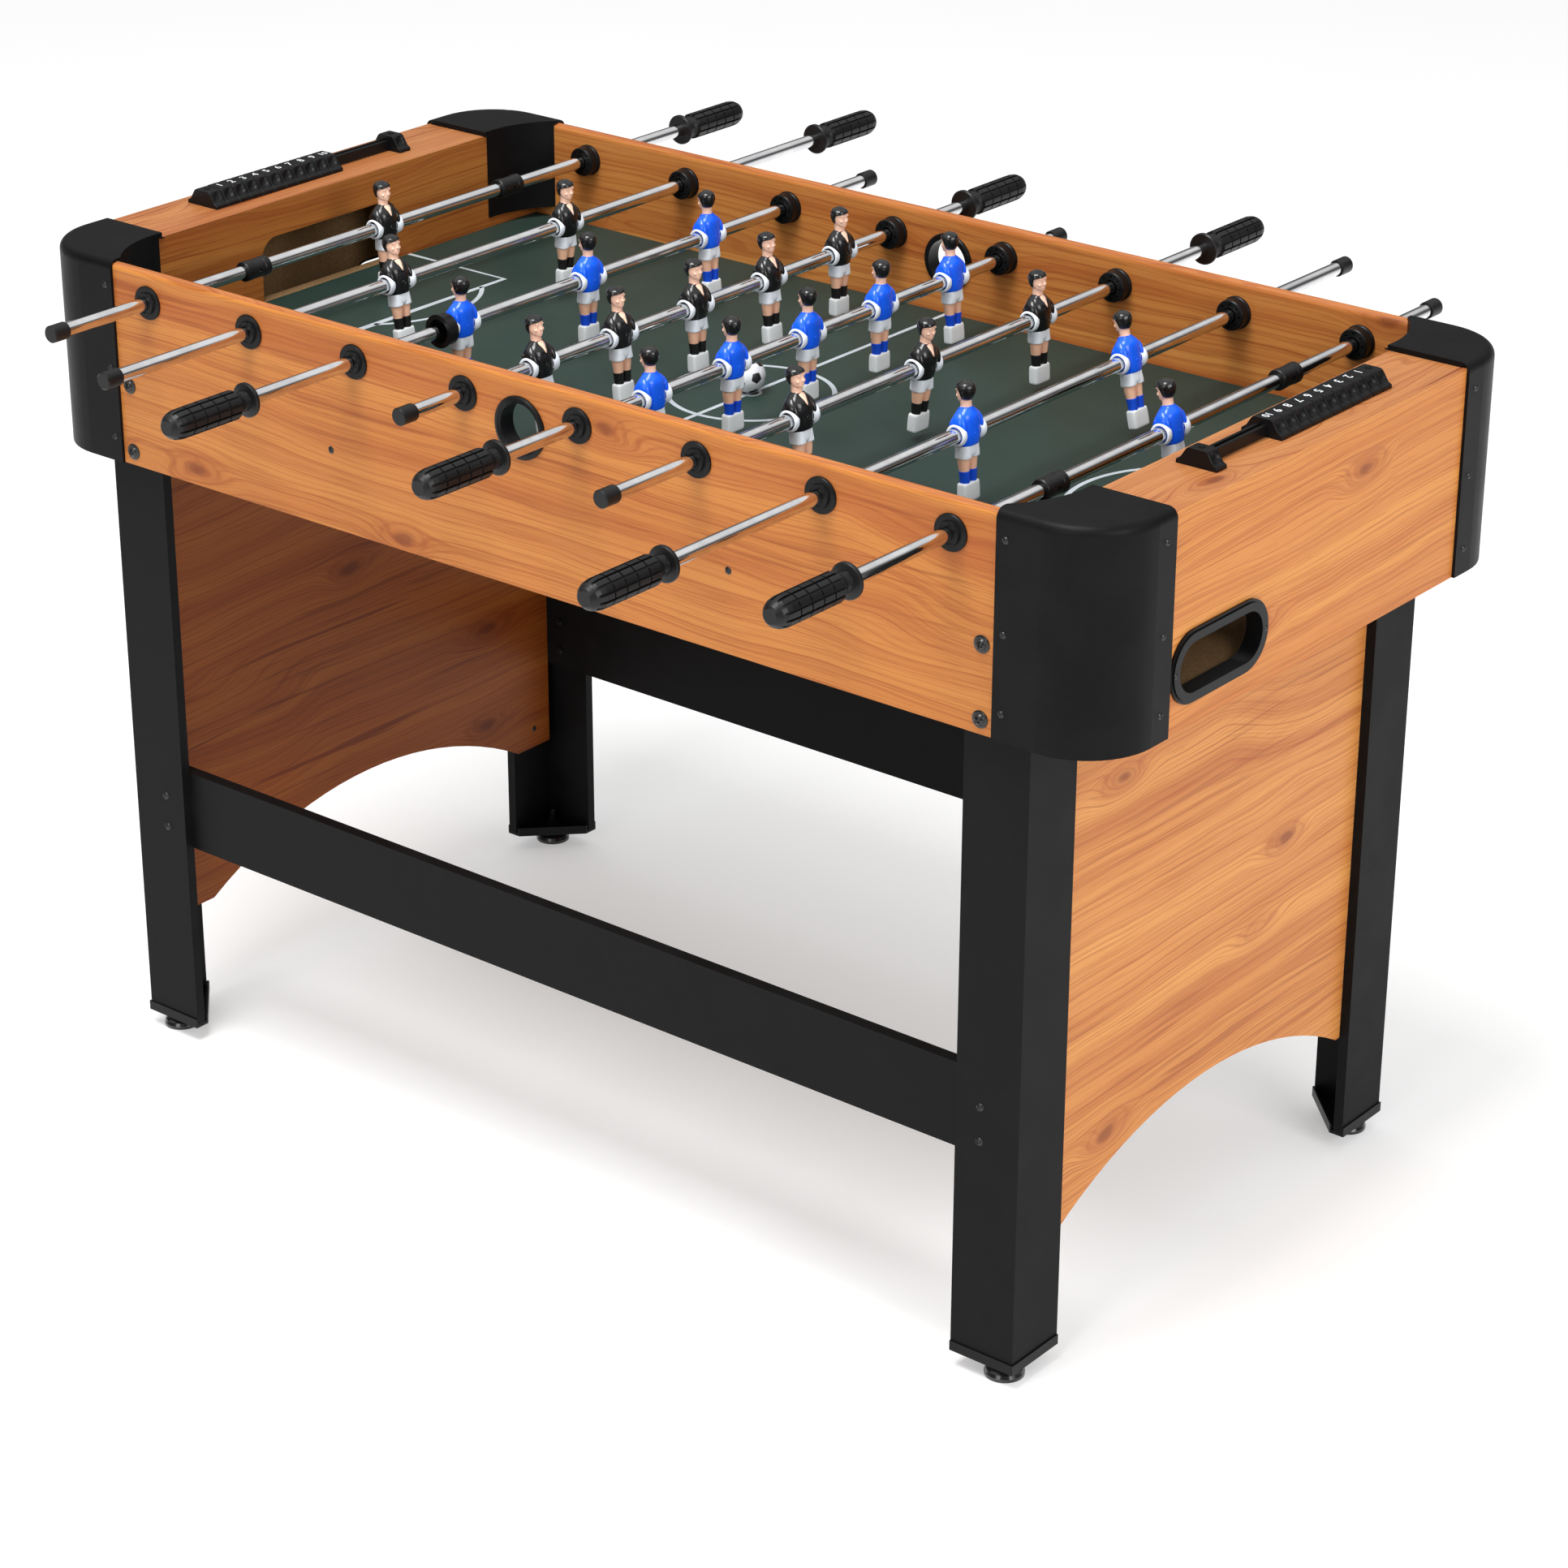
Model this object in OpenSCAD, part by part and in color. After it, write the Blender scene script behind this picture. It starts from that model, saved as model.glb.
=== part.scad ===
// Foosball table: wooden box on four L-shaped legs, eight player rods, score beads, ball entries and ball returns.
// Millimetres. +X along the table, +Y from the front side to the back, +Z up. Origin on the floor under the table's centre.

/* [Table] */
// overall length over the end panels
table_l = 1220; // [1200:10:1260]
// overall width over the side panels
table_w = 622; // [612:2:640]
// height of the side panels' top edge
top_z = 803; // [793:1:813]
// lower edge of the apron
apron_z = 609; // [604:1:614]
// board thickness of the panels
board = 12; // [12:1:12]
// top of the playfield
field_z = 705; // [703:1:706]
// playfield board thickness
field_t = 6; // [4:1:9]

/* [Rods] */
// spacing from rod to rod
rod_pitch = 131; // [128:1:132]
// height of the rod axes
rod_z = 774; // [772:1:776]
// rod outside radius
rod_r = 6.35; // [6.35:0.01:6.35]
// running clearance of rod in liner and liner in bearing
fit = 0.05; // [0.02:0.01:0.08]

/* [Legs] */
// width of each leg flange
leg_w = 66; // [64:1:72]
// thickness of each leg flange
leg_t = 10; // [9:1:12]
// underside of the foot plates
foot_z = 15.5; // [15:0.5:19]
// radius of the leveller discs
lev_r = 18; // [16:1:20]

/* [Goal and ball] */
// width of each goal mouth
goal_w = 188; // [160:2:200]
// top of each goal mouth
goal_top = 767; // [755:1:770]
// ball radius
ball_r = 16; // [15:0.5:16]

/* [Players] */
// spacing on the five-man rods
pitch5 = 106.5; // [104:0.5:108]
// spacing on the three-man rods
pitch3 = 173; // [168:1:175]
// spacing on the two-man rods
pitch2 = 236; // [230:2:240]
// centre of the goalkeeper rod's stop collars
collar_y = 176; // [174:1:178]

/* [Hidden] */
$fn = 48;
hl = table_l / 2;            // outer face of the end panels
hw = table_w / 2;            // outer face of the side panels
iw = hw - board;             // inner face of the side panels
wall_x = hl - 77;            // inner face of the goal walls, outer face of the legs
leg_y = iw;                  // outer face of the legs, front and back
rail_z = top_z - 2;          // top of the end rails
skin = 3;                    // corner guard wall
cg_r = 66;                   // corner guard outer radius
cg_x = hl + skin - cg_r;     // centre of the guard's outer corner
cg_y = hw + skin - cg_r;
cg_end_x = hl - 106;         // guard's edge on the side panel
cg_end_y = hw - 88;          // guard's edge on the end panel
cap_z = top_z + skin;        // top of the guards
screw_z = [633, 701, 781];
bump_y = iw - 13;            // face of the inner bumpers
bear_y = hw + 5;             // outer end of the bearings
rod_x = [for (i = [0:7]) (i - 3.5) * rod_pitch];
men_y = [[0], [-pitch2/2 - 2, pitch2/2 - 2], [-pitch3, 0, pitch3 + 2], [-2*pitch5, -pitch5, 0, pitch5, 2*pitch5],
         [-2*pitch5 - 1.5, -pitch5, 0, pitch5, 2*pitch5 + 2], [-pitch3 - 2, -1, pitch3 - 1], [-pitch2/2 + 4, pitch2/2 + 7.5], [-2.5]];
// each man's lean about his rod, head towards -X, degrees
men_a = [[3], [8, -1], [0, 0, 4], [8, 4.7, 3.2, 4.3, 0], [4.5, 1, 1, 0, 5], [7, -5, 3.2], [3.7, 13.5], [11]];
face = [1, 1, -1, 1, -1, 1, -1, -1];     // way the players face along X
grip_side = [1, 1, -1, 1, -1, 1, -1, -1]; // side the grip is on along Y
cap_end = [430, 487, 432, 392, 392, 432, 487, 430];   // outer end of the end cap
grip_in = [442, 504, 440, 410, 410, 440, 504, 442];   // inner face of the grip's disc
grip_l = 96;
oval_y = 151;
oval_z = 661;
cup_z = 757;
unit_x = [-576, 566];        // centre lines of the score units, left and right
unit_y = 6;
unit_h = 134;                // half of their length
ball_x = -3;

module ycyl(r, y0, y1, f = 48) { translate([0, y0, 0]) rotate([-90, 0, 0]) cylinder(r = r, h = y1 - y0, $fn = f); }
module xcyl(r, x0, x1, f = 48) { translate([x0, 0, 0]) rotate([0, 90, 0]) cylinder(r = r, h = x1 - x0, $fn = f); }
// slot shape with round ends, long along Y, pushed along X
module slot(w, h, x0, x1) {
  s = (w - h) / 2;
  translate([0, -s, 0]) xcyl(h/2, x0, x1);
  translate([0, s, 0]) xcyl(h/2, x0, x1);
  translate([x0, -s, -h/2]) cube([x1 - x0, 2*s, h]);
}

// ---- wooden box ----
module side_panel() { // front one, at -Y
  difference() {
    union() {
      translate([-cg_x, -hw, apron_z]) cube([2*cg_x, board, top_z - apron_z - board/2]);
      translate([0, -hw + board/2, top_z - board/2]) xcyl(board/2, -cg_x, cg_x);
    }
    for (x = rod_x) translate([x, 0, rod_z]) ycyl(11.2, -hw - 1, -iw + 1);
    translate([0, 0, cup_z]) ycyl(25, -hw - 1, -iw + 1);
    for (s = [-1, 1]) {
      for (z = [622, 687]) translate([s*491, 0, z]) ycyl(3.2, -hw - 1, -iw + 1, 24);
      for (z = screw_z) translate([s*513, 0, z]) ycyl(1.7, -hw - 1, -hw + 8, 20);
      translate([s*230, 0, 684]) ycyl(1.9, -hw - 1, -hw + 9, 20);
    }
  }
}
module side_panel_front() color([0.80, 0.45, 0.16]) side_panel();
module side_panel_back() color([0.80, 0.45, 0.16]) rotate([0, 0, 180]) side_panel();

module end_panel() { // right one, at +X
  difference() {
    translate([0, cg_y - 2, 0]) rotate([90, 0, 0]) linear_extrude(2*cg_y - 4)
      polygon([[hl, apron_z], [hl, rail_z], [hl - board, rail_z - board], [hl - board, apron_z]]);
    translate([0, -oval_y, oval_z]) slot(125.6, 49, hl - board - 1, hl + 1);
    for (s = [-1, 1]) {
      for (z = screw_z) translate([0, s*236, z]) xcyl(1.7, hl - 8, hl + 1, 20);
      translate([0, -oval_y + s*65.5, oval_z]) xcyl(1.5, hl - 8, hl + 1, 20);
    }
  }
}
module end_panel_left() color([0.80, 0.45, 0.16]) rotate([0, 0, 180]) end_panel();
module end_panel_right() color([0.80, 0.45, 0.16]) end_panel();

module goal_wall() {
  gr = 20;
  difference() {
    translate([0, iw, 0]) rotate([90, 0, 0]) linear_extrude(2*iw)
      polygon([[wall_x, apron_z], [wall_x, rail_z], [wall_x + board, rail_z - board], [wall_x + board, apron_z]]);
    translate([wall_x - 1, -goal_w/2, field_z]) cube([board + 2, goal_w, goal_top - field_z - gr]);
    translate([wall_x - 1, -goal_w/2 + gr, field_z]) cube([board + 2, goal_w - 2*gr, goal_top - field_z]);
    for (s = [-1, 1]) translate([0, s*(goal_w/2 - gr), goal_top - gr]) xcyl(gr, wall_x - 1, wall_x + board + 1);
  }
}
module goal_walls() color([0.78, 0.42, 0.15]) { goal_wall(); rotate([0, 0, 180]) goal_wall(); }

module end_rail() {
  translate([0, cg_y - 2, 0]) rotate([90, 0, 0]) linear_extrude(2*cg_y - 4)
    polygon([[wall_x, rail_z], [hl, rail_z], [hl - board, rail_z - board], [wall_x + board, rail_z - board]]);
}
module end_rails() color([0.80, 0.46, 0.18]) { end_rail(); rotate([0, 0, 180]) end_rail(); }

module playfield() color([0.10, 0.20, 0.15])
  translate([-wall_x, -iw, field_z - field_t]) cube([2*wall_x, 2*iw, field_t]);

// ---- corner guards ----
inner_r = 97;                // curved inner wall of a guard
in_cx = wall_x - 98.5;       // its centre
in_cy = 233;
module guard_profile() { // skin with a rounded top edge, x = radius from the corner's centre
  er = 9;
  difference() {
    union() {
      translate([cg_r - skin, apron_z]) square([skin, cap_z - er - apron_z]);
      intersection() {
        translate([cg_r - er, cap_z - er]) circle(r = er, $fn = 48);
        translate([cg_r - er, cap_z - er]) square([er, er]);
      }
      translate([0, cap_z - skin]) square([cg_r - er, skin]);
    }
    translate([cg_r - er - 10, cap_z - er - 5]) square([10 + er - skin, 5 + er - skin]);
  }
}
module guard() { // at +X, +Y
  difference() {
    union() {
      translate([cg_x, cg_y, 0]) rotate_extrude(angle = 90, $fn = 96) guard_profile();
      // along the side panel
      translate([cg_end_x, cg_y, 0]) rotate([90, 0, 90]) linear_extrude(cg_x - cg_end_x) guard_profile();
      // along the end panel
      translate([cg_x, cg_y, 0]) rotate([90, 0, 0]) linear_extrude(cg_y - cg_end_y) guard_profile();
      // rest of the cap, with its lip over the end rail
      translate([wall_x - 14, cg_end_y, cap_z - skin]) cube([cg_x - wall_x + 14.5, cg_y - cg_end_y + 0.5, skin]);
      translate([in_cx + 60, cg_end_y, cap_z - skin]) cube([cg_x - in_cx - 60, cg_y + cg_r - skin - 12 - cg_end_y, skin]);
      translate([wall_x - 5, cg_end_y, rail_z + 0.1]) cube([hl - wall_x, skin, cap_z - rail_z - 0.1]);
      // curved inner wall
      intersection() {
        translate([in_cx, in_cy, 0]) difference() {
          translate([0, 0, 715.5]) cylinder(r = inner_r + skin, h = cap_z - 715.5, $fn = 96);
          translate([0, 0, 715]) cylinder(r = inner_r, h = 100, $fn = 96);
        }
        translate([in_cx + 20, 227, 700]) cube([wall_x - in_cx - 20, iw - 227, 200]);
      }
    }
    // the cap stops at the inner wall
    translate([in_cx, in_cy, cap_z - skin - 1]) cylinder(r = inner_r, h = skin + 2, $fn = 96);
    translate([cg_end_x - 30, cg_end_y - 1, cap_z - skin - 1]) cube([30, 100, skin + 2]);
    for (z = screw_z) {
      translate([513, 0, z]) ycyl(1.9, hw - 1, hw + skin + 1, 20);
      translate([0, 236, z]) xcyl(1.9, hl - 1, hl + skin + 1, 20);
    }
  }
}
module corner_guards() color([0.06, 0.06, 0.06]) {
  guard();
  mirror([1, 0, 0]) guard();
  mirror([0, 1, 0]) guard();
  rotate([0, 0, 180]) guard();
}

// ---- legs ----
module leg() { // at +X, +Y
  h = field_z - field_t - foot_z - 3;
  difference() {
    translate([0, 0, foot_z + 3]) union() {
      translate([wall_x - leg_w, leg_y - leg_t, 0]) cube([leg_w, leg_t, h]);
      translate([wall_x - leg_t, leg_y - leg_w, 0]) cube([leg_t, leg_w, h]);
    }
    for (z = [622, 687]) translate([491, 0, z]) ycyl(3.2, leg_y - leg_t - 1, leg_y + 1, 24);
    for (z = [230, 263]) translate([492, 0, z]) ycyl(2.2, leg_y - leg_t - 1, leg_y + 1, 24);
    for (z = [140, 560]) translate([0, 253, z]) xcyl(1.9, wall_x - leg_t - 1, wall_x - 2, 20);
  }
}
module leg_front_left() color([0.06, 0.06, 0.06]) rotate([0, 0, 180]) leg();
module leg_front_right() color([0.06, 0.06, 0.06]) mirror([0, 1, 0]) leg();
module leg_back_left() color([0.06, 0.06, 0.06]) mirror([1, 0, 0]) leg();
module leg_back_right() color([0.06, 0.06, 0.06]) leg();

module leg_panel() {
  x1 = wall_x - leg_t;
  difference() {
    translate([x1 - board, -277, 119]) cube([board, 2*277, field_z - field_t - 119]);
    translate([0, 0, 181 - 445]) xcyl(445, x1 - board - 1, x1 + 1, 240);
    for (s = [-1, 1]) for (z = [140, 560]) translate([0, s*253, z]) xcyl(1.9, x1 - board - 1, x1 + 1, 20);
  }
}
module leg_panels() color([0.78, 0.43, 0.15]) { leg_panel(); mirror([1, 0, 0]) leg_panel(); }

module stretcher() { // back one
  difference() {
    translate([-wall_x + leg_t + 2, leg_y - leg_t - board, 210.5]) cube([2*(wall_x - leg_t - 2), board, 80.5]);
    for (s = [-1, 1]) for (z = [230, 263]) translate([s*492, 0, z]) ycyl(1.9, leg_y - leg_t - board - 1, leg_y - leg_t + 1, 24);
  }
}
module stretchers() color([0.06, 0.06, 0.06]) { stretcher(); mirror([0, 1, 0]) stretcher(); }

lev_x = wall_x - 22;
lev_y = leg_y - 20;
module foot_outline() polygon([[wall_x - leg_w, leg_y], [wall_x, leg_y], [wall_x, leg_y - leg_w], [wall_x - leg_t - 4, leg_y - leg_w], [wall_x - leg_w, leg_y - leg_t - 4]]);
module foot_plate() {
  difference() {
    union() {
      translate([0, 0, foot_z]) linear_extrude(2.9) foot_outline();
      // rim around the outer faces of the leg
      translate([wall_x - leg_w, leg_y, foot_z]) cube([leg_w + 1.4, 1.4, 9.5]);
      translate([wall_x, leg_y - leg_w, foot_z]) cube([1.4, leg_w + 1.4, 9.5]);
      // lip along the slanting inner edge
      translate([0, 0, foot_z]) linear_extrude(9.5) difference() {
        foot_outline();
        offset(delta = -2) foot_outline();
        translate([wall_x - leg_w - 1, leg_y - leg_t - 2]) square([leg_w + 2, leg_t + 3]);
        translate([wall_x - leg_t - 2, leg_y - leg_w - 1]) square([leg_t + 3, leg_w + 2]);
      }
      translate([lev_x, lev_y, foot_z]) cylinder(r = 7.5, h = 9, $fn = 32);
    }
    translate([lev_x, lev_y, foot_z - 1]) cylinder(r = 4 + fit, h = 20, $fn = 32);
  }
}
module foot_plates() color([0.05, 0.05, 0.05]) {
  foot_plate(); mirror([1, 0, 0]) foot_plate(); mirror([0, 1, 0]) foot_plate(); rotate([0, 0, 180]) foot_plate();
}
module leveler(sx, sy) translate([sx*lev_x, sy*lev_y, 0]) rotate_extrude($fn = 64)
  polygon([[0, 0], [lev_r, 0], [lev_r, 3], [lev_r - 1.5, 6], [lev_r - 5, 9.5], [lev_r - 8, 11.5], [lev_r - 9.5, 13], [lev_r - 9.5, 14.5], [4, 14.5], [4, 34], [3, 35], [0, 35]]);
module leveler_front_left() color([0.04, 0.04, 0.04]) leveler(-1, -1);
module leveler_front_right() color([0.04, 0.04, 0.04]) leveler(1, -1);
module leveler_back_left() color([0.04, 0.04, 0.04]) leveler(-1, 1);
module leveler_back_right() color([0.04, 0.04, 0.04]) leveler(1, 1);

// ---- bearings, bumpers, liners ----
liner_r = rod_r + 2.2;
module bearing() { // on the back side
  rotate([-90, 0, 0]) rotate_extrude($fn = 64)
    polygon([[liner_r + fit, hw - 19], [10.9, hw - 19], [10.9, hw], [16, hw], [16, hw + 1.6], [15, hw + 2.6], [10.6, hw + 2.6], [10, bear_y], [liner_r + fit, bear_y]]);
}
module rod_bearings() color([0.05, 0.05, 0.05])
  for (x = rod_x) for (s = [0, 1]) translate([x, 0, rod_z]) mirror([0, s, 0]) bearing();
module bumper() {
  difference() {
    rotate([-90, 0, 0]) rotate_extrude($fn = 64)
      polygon([[7.2, bump_y], [13.5, bump_y], [14.5, bump_y + 1], [14.5, iw - 3], [15.5, iw - 2], [15.5, iw], [11.2, iw], [11.2, hw - 19.3], [7.2, hw - 19.3]]);
    for (a = [0:45:315]) rotate([0, a, 0]) translate([0, 0, 10.6]) ycyl(1.1, bump_y - 1, bump_y + 5, 16);
  }
}
module rod_bumpers() color([0.05, 0.05, 0.05])
  for (i = [0:7]) for (s = [0, 1]) if (!(i == 2 && s == 1)) translate([rod_x[i], 0, rod_z]) mirror([0, s, 0]) bumper();
// the front bumper of the third rod has come off the wall and rides on the rod beside the front player
module loose_bumper() translate([rod_x[2], -(pitch3 + cuff_y + 0.3), rod_z]) difference() {
  rotate([90, 0, 0]) rotate_extrude($fn = 64)
    polygon([[rod_r + fit, 0], [13.5, 0], [14.5, 1], [14.5, 10], [15.5, 11], [15.5, 13], [11.2, 13], [11.2, 5.7], [rod_r + fit, 5.7]]);
  for (a = [0:45:315]) rotate([0, a, 0]) translate([0, 0, 10.6]) ycyl(1.1, -5, 1, 16);
}
module liners(i) for (s = [0, 1]) translate([rod_x[i], 0, rod_z]) mirror([0, s, 0]) difference() {
  ycyl(liner_r, hw - 18.8, bear_y - 0.6, 64);
  ycyl(rod_r + fit, hw - 20, bear_y + 1, 64);
}

// ---- rods, grips, caps, collars ----
module rod_tube(i) {
  g = grip_side[i];
  translate([rod_x[i], 0, rod_z]) scale([1, g, 1]) rotate([-90, 0, 0]) difference() {
    translate([0, 0, -(cap_end[i] - 3)]) cylinder(r = rod_r, h = cap_end[i] - 3 + grip_in[i] + 70, $fn = 64);
    translate([0, 0, -cap_end[i]]) cylinder(r = rod_r - 1.2, h = cap_end[i] + grip_in[i] + 90, $fn = 32);
  }
}
module grip_solid() { // starts at the disc, runs along +Z
  difference() {
    rotate_extrude($fn = 96)
      polygon([[0, 72], [rod_r + fit, 72], [rod_r + fit, 0], [14.4, 0], [15.4, 1], [15.4, 3.2], [14.4, 4.2], [9.4, 5.4], [8.6, 11], [9.2, 14.5], [10.6, 17.5], [13.2, 19],
        [13.2, 31.4], [12, 31.7], [12, 32.7], [13.2, 33], [13.2, 45.4], [12, 45.7], [12, 46.7], [13.2, 47], [13.2, 59.4], [12, 59.7], [12, 60.7], [13.2, 61],
        [13.2, 73.4], [12, 73.7], [12, 74.7], [13.2, 75], [13.1, 83], [12.2, 88], [10.4, 92], [8, 94.8], [6.4, grip_l], [0, grip_l]]);
    for (a = [15:30:345]) rotate([0, 0, a]) translate([11.2, -1.1, 16]) cube([4, 2.2, 76]);
  }
}
module cap_solid() { // starts at its outer end, runs along +Z
  rotate_extrude($fn = 48)
    polygon([[0, 0], [7, 0], [8, 1], [8, 17], [7.6, 18], [rod_r + fit, 18], [rod_r + fit, 2.9], [0, 2.9]]);
}
module collar_solid() difference() {
  rotate_extrude($fn = 48) polygon([[rod_r + fit, -15], [8.8, -15], [9.6, -14], [9.6, -8], [9.2, -7], [9.2, 7], [9.6, 8], [9.6, 14], [8.8, 15], [rod_r + fit, 15]]);
  rotate([0, 90, 0]) cylinder(r = 1.8, h = 12, $fn = 20);
}
module trim(i) {
  translate([rod_x[i], 0, rod_z]) scale([1, grip_side[i], 1]) rotate([-90, 0, 0]) {
    translate([0, 0, grip_in[i]]) grip_solid();
    translate([0, 0, -cap_end[i]]) cap_solid();
    if (i == 0 || i == 7) for (s = [-1, 1]) translate([0, 0, s*collar_y]) collar_solid();
  }
  if (i == 2) loose_bumper();
}

// ---- players ----
cuff_y = 17;                 // half the length of a player over the cuffs
module player() { // rod along Y through the origin, facing +X
  difference() {
    union() {
      ycyl(9.6, -cuff_y, cuff_y);
      // shirt: front outline crossed with side outline
      intersection() {
        translate([20, 0, 0]) rotate([90, 0, -90]) linear_extrude(40)
          polygon([[-10, -11], [10, -11], [11.8, -6], [12.8, 6], [12.4, 14], [10.5, 18.5], [6, 22], [-6, 22], [-10.5, 18.5], [-12.4, 14], [-12.8, 6], [-11.8, -6]]);
        translate([0, 20, 0]) rotate([90, 0, 0]) linear_extrude(40)
          polygon([[-7.6, -11], [7.6, -11], [8.8, -6], [9.8, 3], [9.6, 12], [7.4, 18], [3.5, 22], [-5, 22], [-8.6, 17], [-9.4, 8], [-8.8, -4]]);
      }
      // neck, head with its hair, face and brow
      translate([-0.4, 0, 20]) cylinder(r = 4.8, h = 11, $fn = 32);
      translate([-0.3, 0, 36.2]) sphere(r = 8.7, $fn = 40);
      translate([1.2, 0, 29.5]) cylinder(r1 = 5, r2 = 7.4, h = 6, $fn = 32);
      translate([7.4, -1.2, 31.6]) cube([2.4, 2.4, 3.8]);
      // shorts
      translate([0, 20, 0]) rotate([90, 0, 0]) intersection() {
        linear_extrude(40) polygon([[-7.6, -22], [7.4, -22], [7.8, -10], [-7.9, -10]]);
        translate([-15, -30, 8.4]) linear_extrude(23.2) square([30, 20]);
      }
      // legs and socks
      for (s = [-1, 1]) translate([0, s*5.2, -48]) cylinder(r1 = 4.3, r2 = 5.3, h = 27, $fn = 28);
      // foot block
      translate([-5, -11.2, -60.8]) cube([10, 22.4, 17]);
    }
    ycyl(rod_r + fit, -20, 20);
    xcyl(1.6, 5, 12, 20);
  }
}
module players(i) for (k = [0:len(men_y[i]) - 1]) translate([rod_x[i], men_y[i][k], rod_z]) rotate([0, -men_a[i][k], 0]) rotate([0, 0, face[i] > 0 ? 0 : 180]) player();

// ---- ball entry, ball return, scoring ----
module cup() { // on the back side
  translate([0, 0, cup_z]) rotate([-90, 0, 0]) rotate_extrude($fn = 96)
    polygon([[22, iw - 3], [26.5, iw - 3], [28, iw - 1.5], [28, iw], [24.6, iw], [24.6, hw], [28.5, hw], [28.5, hw + 1.5], [27, hw + 3], [24.5, hw + 3.6], [22, hw + 1]]);
}
module ball_entry_cups() color([0.05, 0.05, 0.05]) { cup(); mirror([0, 1, 0]) cup(); }

module ball_return() { // right end
  // oval collar through the end panel
  translate([0, -oval_y, oval_z]) difference() {
    union() { slot(142, 64, hl, hl + 2.4); slot(137, 59, hl + 2.4, hl + 4); slot(125, 48.4, hl - board, hl + 0.5); }
    slot(120.5, 44.5, hl - board - 1, hl + 5);
    for (s = [-1, 1]) translate([0, s*65.5, 0]) xcyl(1.7, hl - 5, hl + 5, 20);
  }
  // sloping ball tray behind it
  translate([wall_x + board, 0, 0]) rotate([90, 0, 90]) linear_extrude(hl - wall_x - 2*board)
    polygon([[112, 696], [112, 690], [-104, 629], [-218, 629], [-218, 690], [-212, 690], [-212, 635], [-105, 635]]);
}
module ball_returns() color([0.05, 0.05, 0.05]) { ball_return(); rotate([0, 0, 180]) ball_return(); }

module bead_section() // across the rail
  polygon([[-20, 0], [20, 0], [20, 3.5], [16.5, 5.5], [11.5, 13.5], [8, 16], [-8, 16], [-11.5, 13.5], [-16.5, 5.5], [-20, 3.5]]);
module at_unit(k) translate([unit_x[k], unit_y, rail_z]) rotate([0, 0, k == 1 ? 0 : 180]) children();
module score_rail() { // seen from the right end: end block at high Y, stop block at low Y
  for (y = [-unit_h + 15, unit_h]) translate([0, y, 0]) rotate([90, 0, 0]) linear_extrude(15) bead_section();
  translate([-5, -unit_h + 5, 1.5]) cube([10, 2*unit_h - 10, 9.5]);
}
module score_rails() color([0.05, 0.05, 0.05]) { at_unit(0) score_rail(); at_unit(1) score_rail(); }
bead_p = 15.7;
module beads() for (i = [0:9]) translate([0, unit_h - 15.3 - i*bead_p, 0.3]) rotate([90, 0, 0])
  linear_extrude(bead_p - 0.3) difference() {
    bead_section();
    translate([-5.3, 0.9]) square([10.6, 10.1]);
  }
module score_beads_right() color([0.05, 0.05, 0.05]) at_unit(1) beads();
module score_beads_left() color([0.05, 0.05, 0.05]) at_unit(0) beads();

// ---- fasteners ----
module screw(r, h, l, s) rotate_extrude($fn = 24) polygon([[0, -l], [s, -l], [s, 0], [r, 0], [r*0.85, h*0.6], [r*0.45, h], [0, h]]);
module fasteners() color([0.12, 0.12, 0.12]) {
  mirror4q() {
    for (z = screw_z) {
      translate([513, hw + skin, z]) rotate([-90, 0, 0]) screw(3, 1.4, 10.5, 1.5);
      translate([hl + skin, 236, z]) rotate([0, 90, 0]) screw(3, 1.4, 10.5, 1.5);
    }
    for (z = [622, 687]) {
      translate([491, hw + 1.2, z]) rotate([-90, 0, 0]) screw(5.2, 3.2, 33, 3);
      translate([491, 0, z]) difference() { ycyl(7.6, hw, hw + 1.2, 32); ycyl(3.05, hw - 1, hw + 2, 32); }
      translate([491, 0, z]) difference() { ycyl(6.5, leg_y - leg_t - 4, leg_y - leg_t, 6); ycyl(3.05, leg_y - leg_t - 5, leg_y - leg_t + 1, 32); }
    }
    for (z = [230, 263]) {
      translate([492, leg_y, z]) rotate([-90, 0, 0]) screw(4, 2, 26, 1.8);
      translate([492, 0, z]) difference() { ycyl(4, leg_y - leg_t - board - 2.6, leg_y - leg_t - board, 6); ycyl(1.85, leg_y - leg_t - board - 3, leg_y - leg_t - board + 1, 24); }
    }
    translate([230, hw, 684]) rotate([-90, 0, 0]) screw(3.4, 1.3, 8, 1.7);
    for (z = [140, 560]) translate([wall_x - leg_t - board, 253, z]) rotate([0, -90, 0]) screw(3.2, 1.5, 19, 1.7);
  }
  for (a = [0, 180]) rotate([0, 0, a]) for (s = [-1, 1]) translate([hl + 4, -oval_y + s*65.5, oval_z]) rotate([0, 90, 0]) screw(2.4, 1, 9, 1.4);
}
module mirror4q() { children(); mirror([1, 0, 0]) children(); mirror([0, 1, 0]) children(); rotate([0, 0, 180]) children(); }

module ball() color([0.9, 0.9, 0.9]) translate([ball_x, 0, field_z + ball_r]) sphere(r = ball_r, $fn = 64);

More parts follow.
